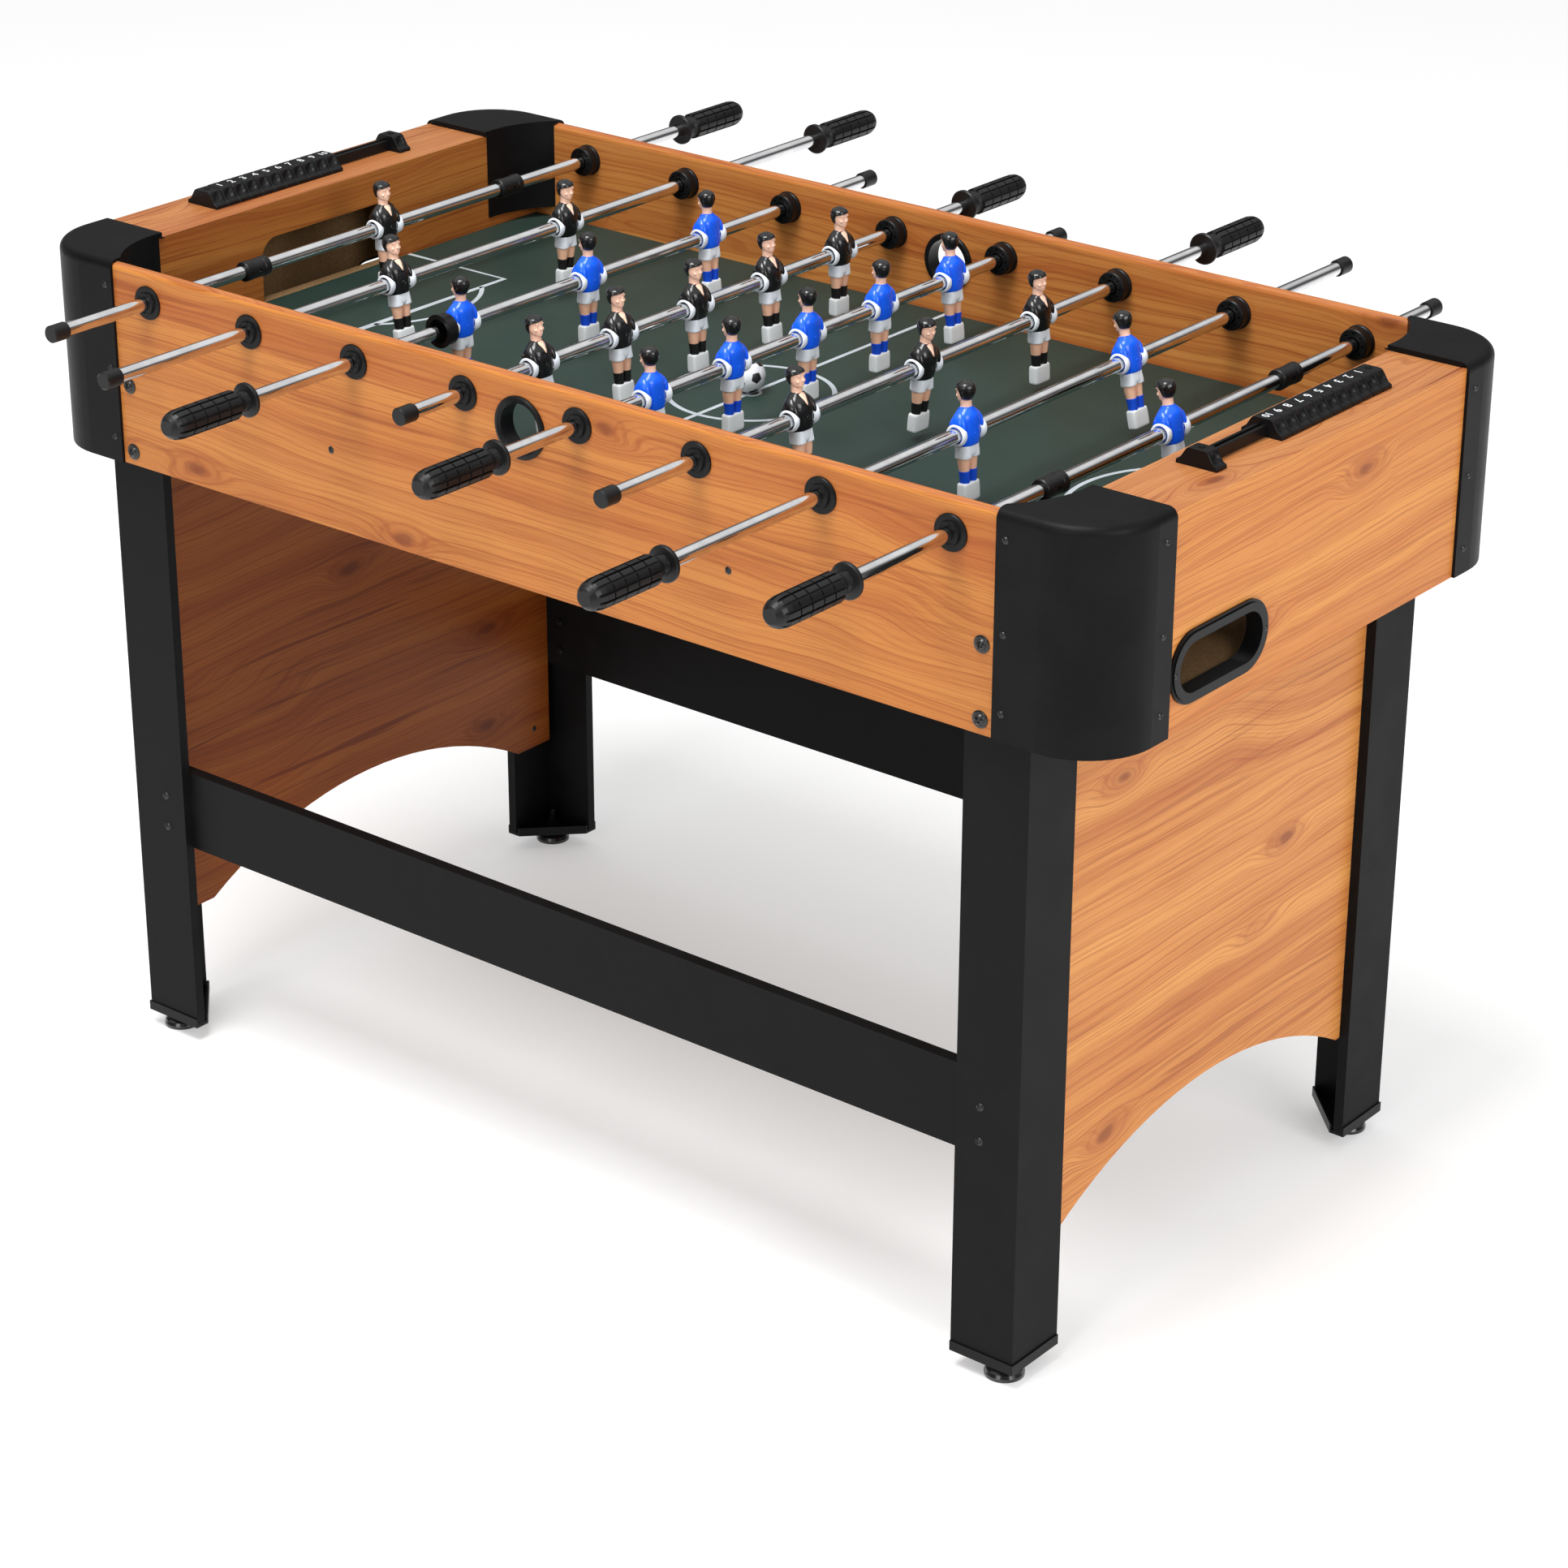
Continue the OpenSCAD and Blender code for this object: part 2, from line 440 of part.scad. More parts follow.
chrome = [0.75, 0.75, 0.78];
nylon = [0.10, 0.10, 0.10];
blk = [0.06, 0.06, 0.06];
shirt_a = [0.05, 0.05, 0.06];
shirt_b = [0.05, 0.2, 0.75];
module rod_1() color(chrome) rod_tube(0);
module rod_2() color(chrome) rod_tube(1);
module rod_3() color(chrome) rod_tube(2);
module rod_4() color(chrome) rod_tube(3);
module rod_5() color(chrome) rod_tube(4);
module rod_6() color(chrome) rod_tube(5);
module rod_7() color(chrome) rod_tube(6);
module rod_8() color(chrome) rod_tube(7);
module players_1() color(shirt_a) players(0);
module players_2() color(shirt_a) players(1);
module players_3() color(shirt_b) players(2);
module players_4() color(shirt_a) players(3);
module players_5() color(shirt_b) players(4);
module players_6() color(shirt_a) players(5);
module players_7() color(shirt_b) players(6);
module players_8() color(shirt_b) players(7);
module grip_and_cap_1() color(blk) trim(0);
module grip_and_cap_2() color(blk) trim(1);
module grip_and_cap_3() color(blk) trim(2);
module grip_and_cap_4() color(blk) trim(3);
module grip_and_cap_5() color(blk) trim(4);
module grip_and_cap_6() color(blk) trim(5);
module grip_and_cap_7() color(blk) trim(6);
module grip_and_cap_8() color(blk) trim(7);
module liners_1() color(nylon) liners(0);
module liners_2() color(nylon) liners(1);
module liners_3() color(nylon) liners(2);
module liners_4() color(nylon) liners(3);
module liners_5() color(nylon) liners(4);
module liners_6() color(nylon) liners(5);
module liners_7() color(nylon) liners(6);
module liners_8() color(nylon) liners(7);

side_panel_front();
side_panel_back();
end_panel_left();
end_panel_right();
goal_walls();
end_rails();
playfield();
corner_guards();
leg_front_left();
leg_front_right();
leg_back_left();
leg_back_right();
leg_panels();
stretchers();
foot_plates();
leveler_front_left();
leveler_front_right();
leveler_back_left();
leveler_back_right();
rod_bearings();
rod_bumpers();
ball_entry_cups();
ball_returns();
score_rails();
score_beads_left();
score_beads_right();
fasteners();
ball();
rod_1();
rod_2();
rod_3();
rod_4();
rod_5();
rod_6();
rod_7();
rod_8();
players_1();
players_2();
players_3();
players_4();
players_5();
players_6();
players_7();
players_8();
grip_and_cap_1();
grip_and_cap_2();
grip_and_cap_3();
grip_and_cap_4();
grip_and_cap_5();
grip_and_cap_6();
grip_and_cap_7();
grip_and_cap_8();
liners_1();
liners_2();
liners_3();
liners_4();
liners_5();
liners_6();
liners_7();
liners_8();
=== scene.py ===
import math
import bpy
import numpy as np
from mathutils import Matrix, Vector


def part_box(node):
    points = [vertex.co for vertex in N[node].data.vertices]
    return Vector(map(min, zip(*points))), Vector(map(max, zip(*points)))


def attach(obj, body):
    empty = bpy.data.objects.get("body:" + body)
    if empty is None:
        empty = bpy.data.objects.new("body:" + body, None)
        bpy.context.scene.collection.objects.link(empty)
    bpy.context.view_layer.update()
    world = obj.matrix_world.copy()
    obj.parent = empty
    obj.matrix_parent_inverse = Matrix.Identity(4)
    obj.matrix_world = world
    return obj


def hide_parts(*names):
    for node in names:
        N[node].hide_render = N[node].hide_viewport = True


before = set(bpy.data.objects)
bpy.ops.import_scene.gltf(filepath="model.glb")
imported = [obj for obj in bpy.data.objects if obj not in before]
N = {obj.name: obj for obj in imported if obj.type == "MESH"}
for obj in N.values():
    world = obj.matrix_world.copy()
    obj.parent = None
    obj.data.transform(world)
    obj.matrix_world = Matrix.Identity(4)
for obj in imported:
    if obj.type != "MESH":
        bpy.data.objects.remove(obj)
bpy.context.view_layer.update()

MM = 0.001

# ---------------------------------------------------------------- layout: rods and playfield read from model.glb, the men's places and leans listed
# layout, read from the frame
def cen(node):
    lo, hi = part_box(node)
    return [(a + b) / 2 for a, b in zip(lo, hi)]

ROD = [cen("rod_%d" % i) for i in range(1, 9)]
ROD_Z = ROD[0][2]
pf_lo, pf_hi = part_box("playfield")
FIELD_Z = pf_hi[2]
MEN_Y = [[0], [-120, 116], [-173, 0, 175], [-213, -106.5, 0, 106.5, 213], [-214.5, -106.5, 0, 106.5, 215], [-175, -1, 172], [-114, 125.5], [-2.5]]
MEN_A = [[3], [8, -1], [0, 0, 4], [8, 4.7, 3.2, 4.3, 0], [4.5, 1, 1, 0, 5], [7, -5, 3.2], [3.7, 13.5], [11]]   # lean about the rod, degrees
FACING = [1, 1, -1, 1, -1, 1, -1, -1]

# ---------------------------------------------------------------- node helpers
class NT:
    def __init__(self, name):
        self.m = bpy.data.materials.new(name)
        self.m.use_nodes = True
        self.t = self.m.node_tree
        self.t.nodes.clear()
        self.out = self.t.nodes.new("ShaderNodeOutputMaterial")
        self.b = self.t.nodes.new("ShaderNodeBsdfPrincipled")
        self.link(self.b.outputs[0], self.out.inputs[0])
    def link(self, a, b):
        self.t.links.new(a, b)
    def n(self, kind, **kw):
        nd = self.t.nodes.new(kind)
        for k, v in kw.items():
            setattr(nd, k, v)
        return nd
    def set(self, sock, v):
        if hasattr(v, "is_output") or isinstance(v, bpy.types.NodeSocket):
            self.link(v, sock)
        else:
            sock.default_value = v
    def math(self, op, a, b=None, c=None, clamp=False):
        nd = self.n("ShaderNodeMath", operation=op, use_clamp=clamp)
        self.set(nd.inputs[0], a)
        if b is not None: self.set(nd.inputs[1], b)
        if c is not None: self.set(nd.inputs[2], c)
        return nd.outputs[0]
    def coord(self):
        tc = self.n("ShaderNodeTexCoord")
        s = self.n("ShaderNodeSeparateXYZ")
        self.link(tc.outputs["Object"], s.inputs[0])
        return s.outputs[0], s.outputs[1], s.outputs[2]
    def vec(self, x, y, z=0.0):
        c = self.n("ShaderNodeCombineXYZ")
        for s, v in zip(c.inputs, (x, y, z)): self.set(s, v)
        return c.outputs[0]
    def noise(self, vec, scale, detail=2.0, rough=0.5, dims="3D", w=None):
        nd = self.n("ShaderNodeTexNoise", noise_dimensions=dims)
        if vec is not None: self.link(vec, nd.inputs["Vector"])
        if w is not None: self.set(nd.inputs["W"], w)
        nd.inputs["Scale"].default_value = scale
        nd.inputs["Detail"].default_value = detail
        nd.inputs["Roughness"].default_value = rough
        return nd.outputs[0]
    def ramp(self, fac, stops, interp="LINEAR"):
        nd = self.n("ShaderNodeValToRGB")
        cr = nd.color_ramp
        cr.interpolation = interp
        while len(cr.elements) < len(stops): cr.elements.new(0.5)
        for e, (p, c) in zip(cr.elements, stops):
            e.position = p
            e.color = (*c, 1) if len(c) == 3 else c
        self.link(fac, nd.inputs[0])
        return nd.outputs[0]
    def maprange(self, v, a, b, c=0.0, d=1.0, kind="SMOOTHSTEP"):
        nd = self.n("ShaderNodeMapRange", interpolation_type=kind)
        self.set(nd.inputs[0], v)
        for k, x in zip((1, 2, 3, 4), (a, b, c, d)): nd.inputs[k].default_value = x
        return nd.outputs[0]
    def mix(self, fac, a, b, blend="MIX"):
        nd = self.n("ShaderNodeMix", data_type="RGBA", blend_type=blend)
        self.set(nd.inputs[0], fac)
        self.set(nd.inputs[6], a if not isinstance(a, tuple) else (*a, 1))
        self.set(nd.inputs[7], b if not isinstance(b, tuple) else (*b, 1))
        return nd.outputs[2]
    def bump(self, h, strength, dist):
        nd = self.n("ShaderNodeBump")
        nd.inputs["Strength"].default_value = strength
        nd.inputs["Distance"].default_value = dist
        self.link(h, nd.inputs["Height"])
        self.link(nd.outputs[0], self.b.inputs["Normal"])
    def p(self, **kw):
        for k, v in kw.items():
            name = {"color": "Base Color", "rough": "Roughness", "metal": "Metallic", "spec": "Specular IOR Level", "coat": "Coat Weight",
                    "coat_rough": "Coat Roughness", "sss": "Subsurface Weight", "aniso": "Anisotropic", "ior": "IOR", "sheen": "Sheen Weight"}[k]
            if isinstance(v, tuple): v = (*v, 1)
            self.set(self.b.inputs[name], v)
        return self

def wood(name, along, across, seed, gain=(1.0, 1.0, 1.0), vs=1.0, streaks=0.5, rough=(0.36, 0.47), spec=0.22):
    """Cherry-like laminate. along and across are the axes 0, 1, 2 of the grain and of the width."""
    t = NT(name)
    xyz = t.coord()
    u = t.math("ADD", xyz[along], seed * 3.17)
    v = t.math("MULTIPLY", t.math("ADD", xyz[across], seed * 1.31), vs)
    # knots: sparse cells, the grain swells round them
    wob = t.noise(t.vec(t.math("MULTIPLY", u, 9.0), t.math("MULTIPLY", v, 22.0), seed), 1.0, 2.0, 0.5)
    vo = t.n("ShaderNodeTexVoronoi", voronoi_dimensions="2D", feature="F1")
    vv = t.math("MULTIPLY_ADD", wob, 0.14, t.math("MULTIPLY", v, 9.5))
    t.link(t.vec(t.math("MULTIPLY_ADD", wob, 0.18, t.math("MULTIPLY", u, 4.2)), vv), vo.inputs["Vector"])
    vo.inputs["Scale"].default_value = 1.0
    vo.inputs["Randomness"].default_value = 0.95
    sc = t.n("ShaderNodeSeparateColor")
    t.link(vo.outputs["Color"], sc.inputs[0])
    rare = t.maprange(sc.outputs[0], 0.52, 0.66)
    dist = vo.outputs["Distance"]
    near = t.math("MULTIPLY", t.maprange(dist, 0.30, 0.01), rare)
    kp = t.n("ShaderNodeSeparateXYZ")
    t.link(vo.outputs["Position"], kp.inputs[0])
    off = t.math("MULTIPLY", t.math("SUBTRACT", vv, kp.outputs[1]), t.math("MULTIPLY", near, 1.0 / 9.5))
    # slow wander of the grain, strongest in a few broad cathedral patches
    drift = t.noise(t.vec(t.math("MULTIPLY", u, 1.3), t.math("MULTIPLY", v, 4.0), seed * 5.3), 1.0, 1.5, 0.45)
    drift2 = t.noise(t.vec(t.math("MULTIPLY", u, 5.5), t.math("MULTIPLY", v, 19.0), seed * 2.1 + 4), 1.0, 2.0, 0.5)
    patch = t.noise(t.vec(t.math("MULTIPLY", u, 2.0), t.math("MULTIPLY", v, 6.0), 9.0 + seed), 1.0, 1.0, 0.5)
    arch = t.maprange(patch, 0.54, 0.70)
    v = t.math("SUBTRACT", v, off)
    f = t.math("MULTIPLY", v, 34.0)
    f = t.math("MULTIPLY_ADD", drift, 2.3, f)
    f = t.math("MULTIPLY_ADD", t.math("MULTIPLY", drift, arch), 2.4, f)
    f = t.math("MULTIPLY_ADD", drift2, 0.55, f)
    f = t.math("MULTIPLY_ADD", near, 0.5, f)
    rings = t.noise(None, 1.0, 2.0, 0.5, "1D", f)
    lines = t.noise(None, 4.6, 2.5, 0.62, "1D", f)
    lines2 = t.noise(None, 11.0, 2.0, 0.6, "1D", f)
    bend = t.math("MULTIPLY_ADD", near, 0.004, t.math("MULTIPLY_ADD", drift, 0.030, t.math("MULTIPLY_ADD", drift2, 0.010, v)))
    fibre = t.noise(t.vec(t.math("MULTIPLY", u, 9.0), t.math("MULTIPLY", bend, 560.0)), 1.0, 3.0, 0.62)
    streak = t.noise(t.vec(t.math("MULTIPLY", u, 3.6), t.math("MULTIPLY", bend, 150.0), 5.0), 1.0, 2.0, 0.55)
    zone = t.noise(t.vec(t.math("MULTIPLY", u, 1.3), t.math("MULTIPLY", v, 11.0), 2.0 + seed), 1.0, 1.0, 0.5)
    fleck = t.noise(t.vec(t.math("MULTIPLY", u, 60.0), t.math("MULTIPLY", bend, 1300.0), 3.0), 1.0, 1.0, 0.5)
    g = gain
    c = lambda r, gg, b: (r * g[0], gg * g[1], b * g[2])
    base = t.ramp(rings, [(0.25, c(0.750, 0.338, 0.105)), (0.44, c(0.690, 0.285, 0.086)), (0.58, c(0.620, 0.232, 0.068)), (0.76, c(0.555, 0.190, 0.055))])
    col = t.mix(t.math("MULTIPLY", t.maprange(zone, 0.38, 0.62), 0.42), base, c(0.800, 0.375, 0.128))
    col = t.mix(t.math("MULTIPLY", t.maprange(lines, 0.55, 0.62), 0.34), col, c(0.42, 0.110, 0.028))
    col = t.mix(t.math("MULTIPLY", t.maprange(lines2, 0.54, 0.62), 0.40), col, c(0.40, 0.100, 0.026))
    col = t.mix(t.math("MULTIPLY", t.maprange(fibre, 0.52, 0.64), 0.36), col, c(0.38, 0.095, 0.024))
    col = t.mix(t.math("MULTIPLY", t.maprange(fibre, 0.48, 0.30), 0.14), col, c(0.84, 0.41, 0.16))
    dark = t.math("MULTIPLY", t.maprange(streak, 0.56, 0.66), t.maprange(zone, 0.58, 0.44))
    col = t.mix(t.math("MULTIPLY", dark, streaks), col, c(0.335, 0.082, 0.023))
    col = t.mix(t.math("MULTIPLY", t.maprange(fleck, 0.66, 0.80), 0.26), col, c(0.27, 0.07, 0.02))
    halo = t.math("MULTIPLY", t.maprange(near, 0.22, 0.80), 0.34)
    col = t.mix(halo, col, c(0.44, 0.130, 0.040))
    ring = t.maprange(t.math("PINGPONG", t.math("MULTIPLY_ADD", wob, 0.05, dist), 0.030), 0.014, 0.026)
    col = t.mix(t.math("MULTIPLY", t.math("MULTIPLY", ring, t.maprange(near, 0.25, 0.80)), 0.26), col, c(0.34, 0.088, 0.027))
    col = t.mix(t.math("MULTIPLY", t.maprange(near, 0.90, 0.99), 0.70), col, c(0.23, 0.055, 0.018))
    t.p(color=col, rough=t.maprange(fibre, 0.2, 0.8, rough[0], rough[1], "LINEAR"), spec=spec)
    t.bump(t.math("MULTIPLY_ADD", fibre, 0.6, lines2), 0.05, 0.0004)
    return t.m

def plastic(name, color, rough, grain=0.0, scale=2600.0, spec=0.4, coat=0.0, vary=0.18, coat_rough=0.1):
    t = NT(name)
    x, y, z = t.coord()
    v = t.vec(x, y, z)
    big = t.noise(v, 22.0, 3.0, 0.55)
    fine = t.noise(v, scale, 2.0, 0.6)
    lo = tuple(c * (1 - vary) for c in color)
    hi = tuple(min(1, c * (1 + vary)) for c in color)
    col = t.mix(t.maprange(big, 0.3, 0.7), lo, hi)
    t.p(color=col, rough=t.maprange(big, 0.3, 0.7, rough * 0.9, min(1, rough * 1.12), "LINEAR"), spec=spec, coat=coat, coat_rough=coat_rough)
    if grain: t.bump(fine, grain, 0.0003)
    return t.m

def chrome(name):
    t = NT(name)
    x, y, z = t.coord()
    s = t.noise(t.vec(t.math("MULTIPLY", x, 900.0), t.math("MULTIPLY", y, 9.0), t.math("MULTIPLY", z, 900.0)), 1.0, 3.0, 0.6)
    sm = t.noise(t.vec(x, y, z), 30.0, 3.0, 0.6)
    col = t.mix(t.maprange(sm, 0.35, 0.7), (0.66, 0.66, 0.675), (0.79, 0.79, 0.80))
    t.p(color=col, metal=1.0, rough=t.maprange(s, 0.2, 0.8, 0.05, 0.13, "LINEAR"))
    t.bump(s, 0.03, 0.0001)
    return t.m

def board_raw(name):
    t = NT(name)
    x, y, z = t.coord()
    v = t.vec(x, y, z)
    a = t.noise(v, 700.0, 4.0, 0.7)
    b = t.noise(v, 18.0, 3.0, 0.6)
    col = t.mix(t.maprange(a, 0.3, 0.7), (0.16, 0.088, 0.035), (0.26, 0.16, 0.075))
    col = t.mix(t.math("MULTIPLY", t.maprange(b, 0.4, 0.7), 0.3), col, (0.12, 0.065, 0.028))
    t.p(color=col, rough=0.8, spec=0.2)
    t.bump(a, 0.25, 0.0003)
    return t.m

def field_mat(name):
    t = NT(name)
    x, y, z = t.coord()
    v = t.vec(x, y, z)
    big = t.noise(v, 5.0, 3.0, 0.55)
    grit = t.noise(v, 1500.0, 2.0, 0.6)
    col = t.mix(t.maprange(big, 0.3, 0.7), (0.0145, 0.0290, 0.0225), (0.0205, 0.0390, 0.0320))
    col = t.mix(t.math("MULTIPLY", t.maprange(grit, 0.55, 0.8), 0.25), col, (0.036, 0.062, 0.052))
    t.p(color=col, rough=t.maprange(grit, 0.2, 0.8, 0.42, 0.58, "LINEAR"), spec=0.22)
    t.bump(grit, 0.05, 0.0002)
    return t.m

M = {
    "wood_front": wood("cherry_side_panels", 0, 2, 1.0, (0.69, 0.595, 0.43)),
    "wood_back": wood("cherry_side_panel_back", 0, 2, 2.3, (0.67, 0.60, 0.45)),
    "wood_end": wood("cherry_end_panels", 1, 2, 3.7, (0.85, 0.76, 0.55)),
    # painted shade: a darker copy of the cherry for the goal walls, standing in for the shade inside the table's ends
    "wood_goal_painted_shade": wood("cherry_goal_walls_painted_shade", 1, 2, 5.1, (0.52, 0.44, 0.29)),
    "wood_rail": wood("cherry_end_rails", 1, 0, 6.4, (0.63, 0.59, 0.62), 1.3, 0.85, (0.24, 0.34), 0.55),
    "wood_leg": wood("cherry_leg_panels", 1, 2, 8.2, (0.89, 0.85, 0.70)),
    # painted shade: a much darker copy of the leg-panel cherry, standing in for the shade on the panels' inner faces
    "wood_leg_in_painted_shade": wood("cherry_leg_panels_inside_painted_shade", 1, 2, 9.6, (0.39, 0.25, 0.11), 1.0, 0.8),
    "wood_edge": wood("cherry_panel_edges", 0, 1, 7.7, (0.60, 0.50, 0.46), 1.0, 0.8),
    "raw": board_raw("raw_board"),
    "field": field_mat("green_playfield"),
    "line": plastic("white_print", (0.40, 0.44, 0.47), 0.45, 0.04, 1500, 0.35, 0, 0.08),
    "guard": plastic("guard_textured_black", (0.0052, 0.0052, 0.0055), 0.40, 0.30, 1900, 0.09, 0, 0.2),
    "leg": plastic("black_laminate", (0.0062, 0.0062, 0.0065), 0.50, 0.06, 900, 0.09, 0, 0.2),
    "black": plastic("black_moulding", (0.0050, 0.0050, 0.0054), 0.34, 0.10, 2200, 0.16, 0, 0.2),
    "rubber": plastic("grip_rubber", (0.0056, 0.0056, 0.0060), 0.36, 0.12, 2400, 0.28, 0, 0.25),
    "gloss": plastic("gloss_black_moulding", (0.008, 0.008, 0.0085), 0.22, 0.03, 800, 0.5, 0.5, 0.15),
    "screw": plastic("black_screws", (0.0065, 0.0065, 0.007), 0.26, 0.05, 1500, 0.45, 0.1, 0.2),
    "chrome": chrome("chromed_tube"),
    "p_black": plastic("player_black_paint", (0.007, 0.007, 0.0075), 0.22, 0.03, 300, 0.4, 0.25, 0.15),
    "p_blue": plastic("player_blue_paint", (0.006, 0.110, 0.86), 0.24, 0.03, 300, 0.4, 0.15, 0.10),
    "p_sock_blue": plastic("player_blue_socks", (0.006, 0.075, 0.66), 0.38, 0.05, 300, 0.4, 0.0, 0.12),
    "p_sock_black": plastic("player_black_socks", (0.008, 0.008, 0.008), 0.40, 0.05, 300, 0.4, 0.0, 0.12),
    "p_white": plastic("player_white", (0.80, 0.85, 0.91), 0.33, 0.04, 260, 0.42, 0.1, 0.06),
    "p_skin": plastic("player_skin", (0.96, 0.58, 0.43), 0.34, 0.04, 260, 0.42, 0.1, 0.07),
    "p_leg": plastic("player_legs", (0.97, 0.55, 0.37), 0.34, 0.04, 260, 0.42, 0.1, 0.07),
    "p_foot": plastic("player_foot_block", (0.80, 0.83, 0.84), 0.30, 0.04, 260, 0.45, 0.1, 0.06),
    "b_white": plastic("ball_white", (0.70, 0.72, 0.74), 0.30, 0.05, 500, 0.45, 0.15, 0.06),
    "b_black": plastic("ball_black", (0.012, 0.012, 0.012), 0.32, 0.05, 500, 0.4, 0.1, 0.15),
    "digit": plastic("white_digits", (0.62, 0.64, 0.66), 0.5, 0.05, 900, 0.3, 0, 0.06),
}

def paint(node, mat, rule=None):
    """One material on a CAD node; rule(centre, normal) picks the second one for a face."""
    o = N[node]
    o.data.materials.clear()
    o.data.materials.append(M[mat])
    if rule:
        other, test = rule
        o.data.materials.append(M[other])
        for p in o.data.polygons:
            p.material_index = 1 if test(p.center, p.normal) else 0
    else:
        for p in o.data.polygons: p.material_index = 0

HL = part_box("end_panel_right")[1][0]
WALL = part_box("goal_walls")[1][0] - 0.012
paint("side_panel_front", "wood_front", ("wood_edge", lambda c, n: n.z > 0.7))
paint("side_panel_back", "wood_back", ("wood_edge", lambda c, n: n.z > 0.7))
inner = lambda c, n: abs(c.x) < HL - 0.0115 and abs(n.x) > 0.5
for k in ("end_panel_left", "end_panel_right"): paint(k, "wood_end", ("raw", lambda c, n: abs(c.x) < HL - 0.0005))
# goal walls take the darker copy of the cherry, which is painted shade
paint("goal_walls", "wood_goal_painted_shade", ("raw", lambda c, n: abs(c.x) > WALL + 0.0005))
paint("end_rails", "wood_rail", ("raw", lambda c, n: n.z < 0.5))
paint("playfield", "field", ("raw", lambda c, n: n.z < 0.5))
# inner faces of the leg panels take the darker copy of the cherry, which is painted shade
paint("leg_panels", "wood_leg", ("wood_leg_in_painted_shade", lambda c, n: n.x * c.x < -0.1))
paint("corner_guards", "guard")
for k in ("leg_front_left", "leg_front_right", "leg_back_left", "leg_back_right", "stretchers"): paint(k, "leg")
for k in ("foot_plates", "rod_bearings", "rod_bumpers", "ball_entry_cups"): paint(k, "black")
paint("ball_returns", "black", ("raw", lambda c, n: abs(c.x) < HL - 0.0125))
for k in ("leveler_front_left", "leveler_front_right", "leveler_back_left", "leveler_back_right"): paint(k, "gloss")
for k in range(1, 9):
    paint("rod_%d" % k, "chrome")
    paint("grip_and_cap_%d" % k, "rubber")
    paint("liners_%d" % k, "black")

# ---------------------------------------------------------------- mesh helpers
class Mesh:
    def __init__(self): self.v, self.f, self.m, self.s = [], [], [], []
    def add(self, verts, faces, mat, smooth=True, xf=None):
        o = len(self.v)
        for p in verts:
            q = Vector(p)
            if xf is not None: q = xf @ q
            self.v.append(tuple(q))
        for f in faces:
            self.f.append(tuple(o + i for i in f)); self.m.append(mat); self.s.append(smooth)
    def make(self, name, mats, body, slot, replaces=(), edge_split=None):
        me = bpy.data.meshes.new(name)
        me.from_pydata(self.v, [], self.f)
        names = list(dict.fromkeys(self.m))
        for k in names: me.materials.append(M[k])
        me.polygons.foreach_set("material_index", [names.index(k) for k in self.m])
        me.polygons.foreach_set("use_smooth", self.s)
        me.update()
        ob = bpy.data.objects.new(name, me)
        bpy.context.scene.collection.objects.link(ob)
        if edge_split:
            import bmesh
            bm = bmesh.new(); bm.from_mesh(me)
            bmesh.ops.recalc_face_normals(bm, faces=bm.faces)
            sharp = [e for e in bm.edges if len(e.link_faces) == 2 and e.calc_face_angle(0) > math.radians(edge_split)]
            bmesh.ops.split_edges(bm, edges=sharp)
            bm.to_mesh(me); bm.free()
        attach(ob, body)
        if replaces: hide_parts(*replaces)
        return ob

def interp(rows, n):
    """Smooth rows of numbers, keyed on the first column by monotone steps, to n rows."""
    a = np.array(rows, float)
    t = np.arange(len(a))
    q = np.linspace(0, len(a) - 1, n)
    m = np.gradient(a, axis=0)
    i = np.minimum(q.astype(int), len(a) - 2)
    u = (q - i)[:, None]
    h0, h1, h2, h3 = 2*u**3 - 3*u**2 + 1, u**3 - 2*u**2 + u, -2*u**3 + 3*u**2, u**3 - u**2
    return h0 * a[i] + h1 * m[i] + h2 * a[i + 1] + h3 * m[i + 1]

def loft(rows, seg=24, n=16, e=2.0, cap=True):
    """rows: z, cx, cy, front radius, back radius, side radius."""
    r = interp(rows, n)
    v, f = [], []
    for z, cx, cy, rf, rb, ry in r:
        for k in range(seg):
            a = 2 * math.pi * k / seg
            c, s = math.cos(a), math.sin(a)
            x = (rf if c > 0 else rb) * math.copysign(abs(c) ** (2 / e), c)
            y = ry * math.copysign(abs(s) ** (2 / e), s)
            v.append((cx + x, cy + y, z))
    for j in range(n - 1):
        for k in range(seg):
            a, b = j * seg + k, j * seg + (k + 1) % seg
            f.append((a, b, b + seg, a + seg))
    if cap:
        for j, flip in ((0, True), (n - 1, False)):
            c = len(v)
            v.append((r[j][1], r[j][2], r[j][0]))
            for k in range(seg):
                a, b = j * seg + k, j * seg + (k + 1) % seg
                f.append((b, a, c) if flip else (a, b, c))
    return v, f

def lathe(rows, seg=32):
    """rows: (radius, height) revolved about Z, closed into a ring if the profile is closed."""
    v, f = [], []
    n = len(rows)
    for r, h in rows:
        for k in range(seg):
            a = 2 * math.pi * k / seg
            v.append((r * math.cos(a), r * math.sin(a), h))
    for j in range(n - 1):
        for k in range(seg):
            a, b = j * seg + k, j * seg + (k + 1) % seg
            f.append((a, b, b + seg, a + seg))
    return v, f

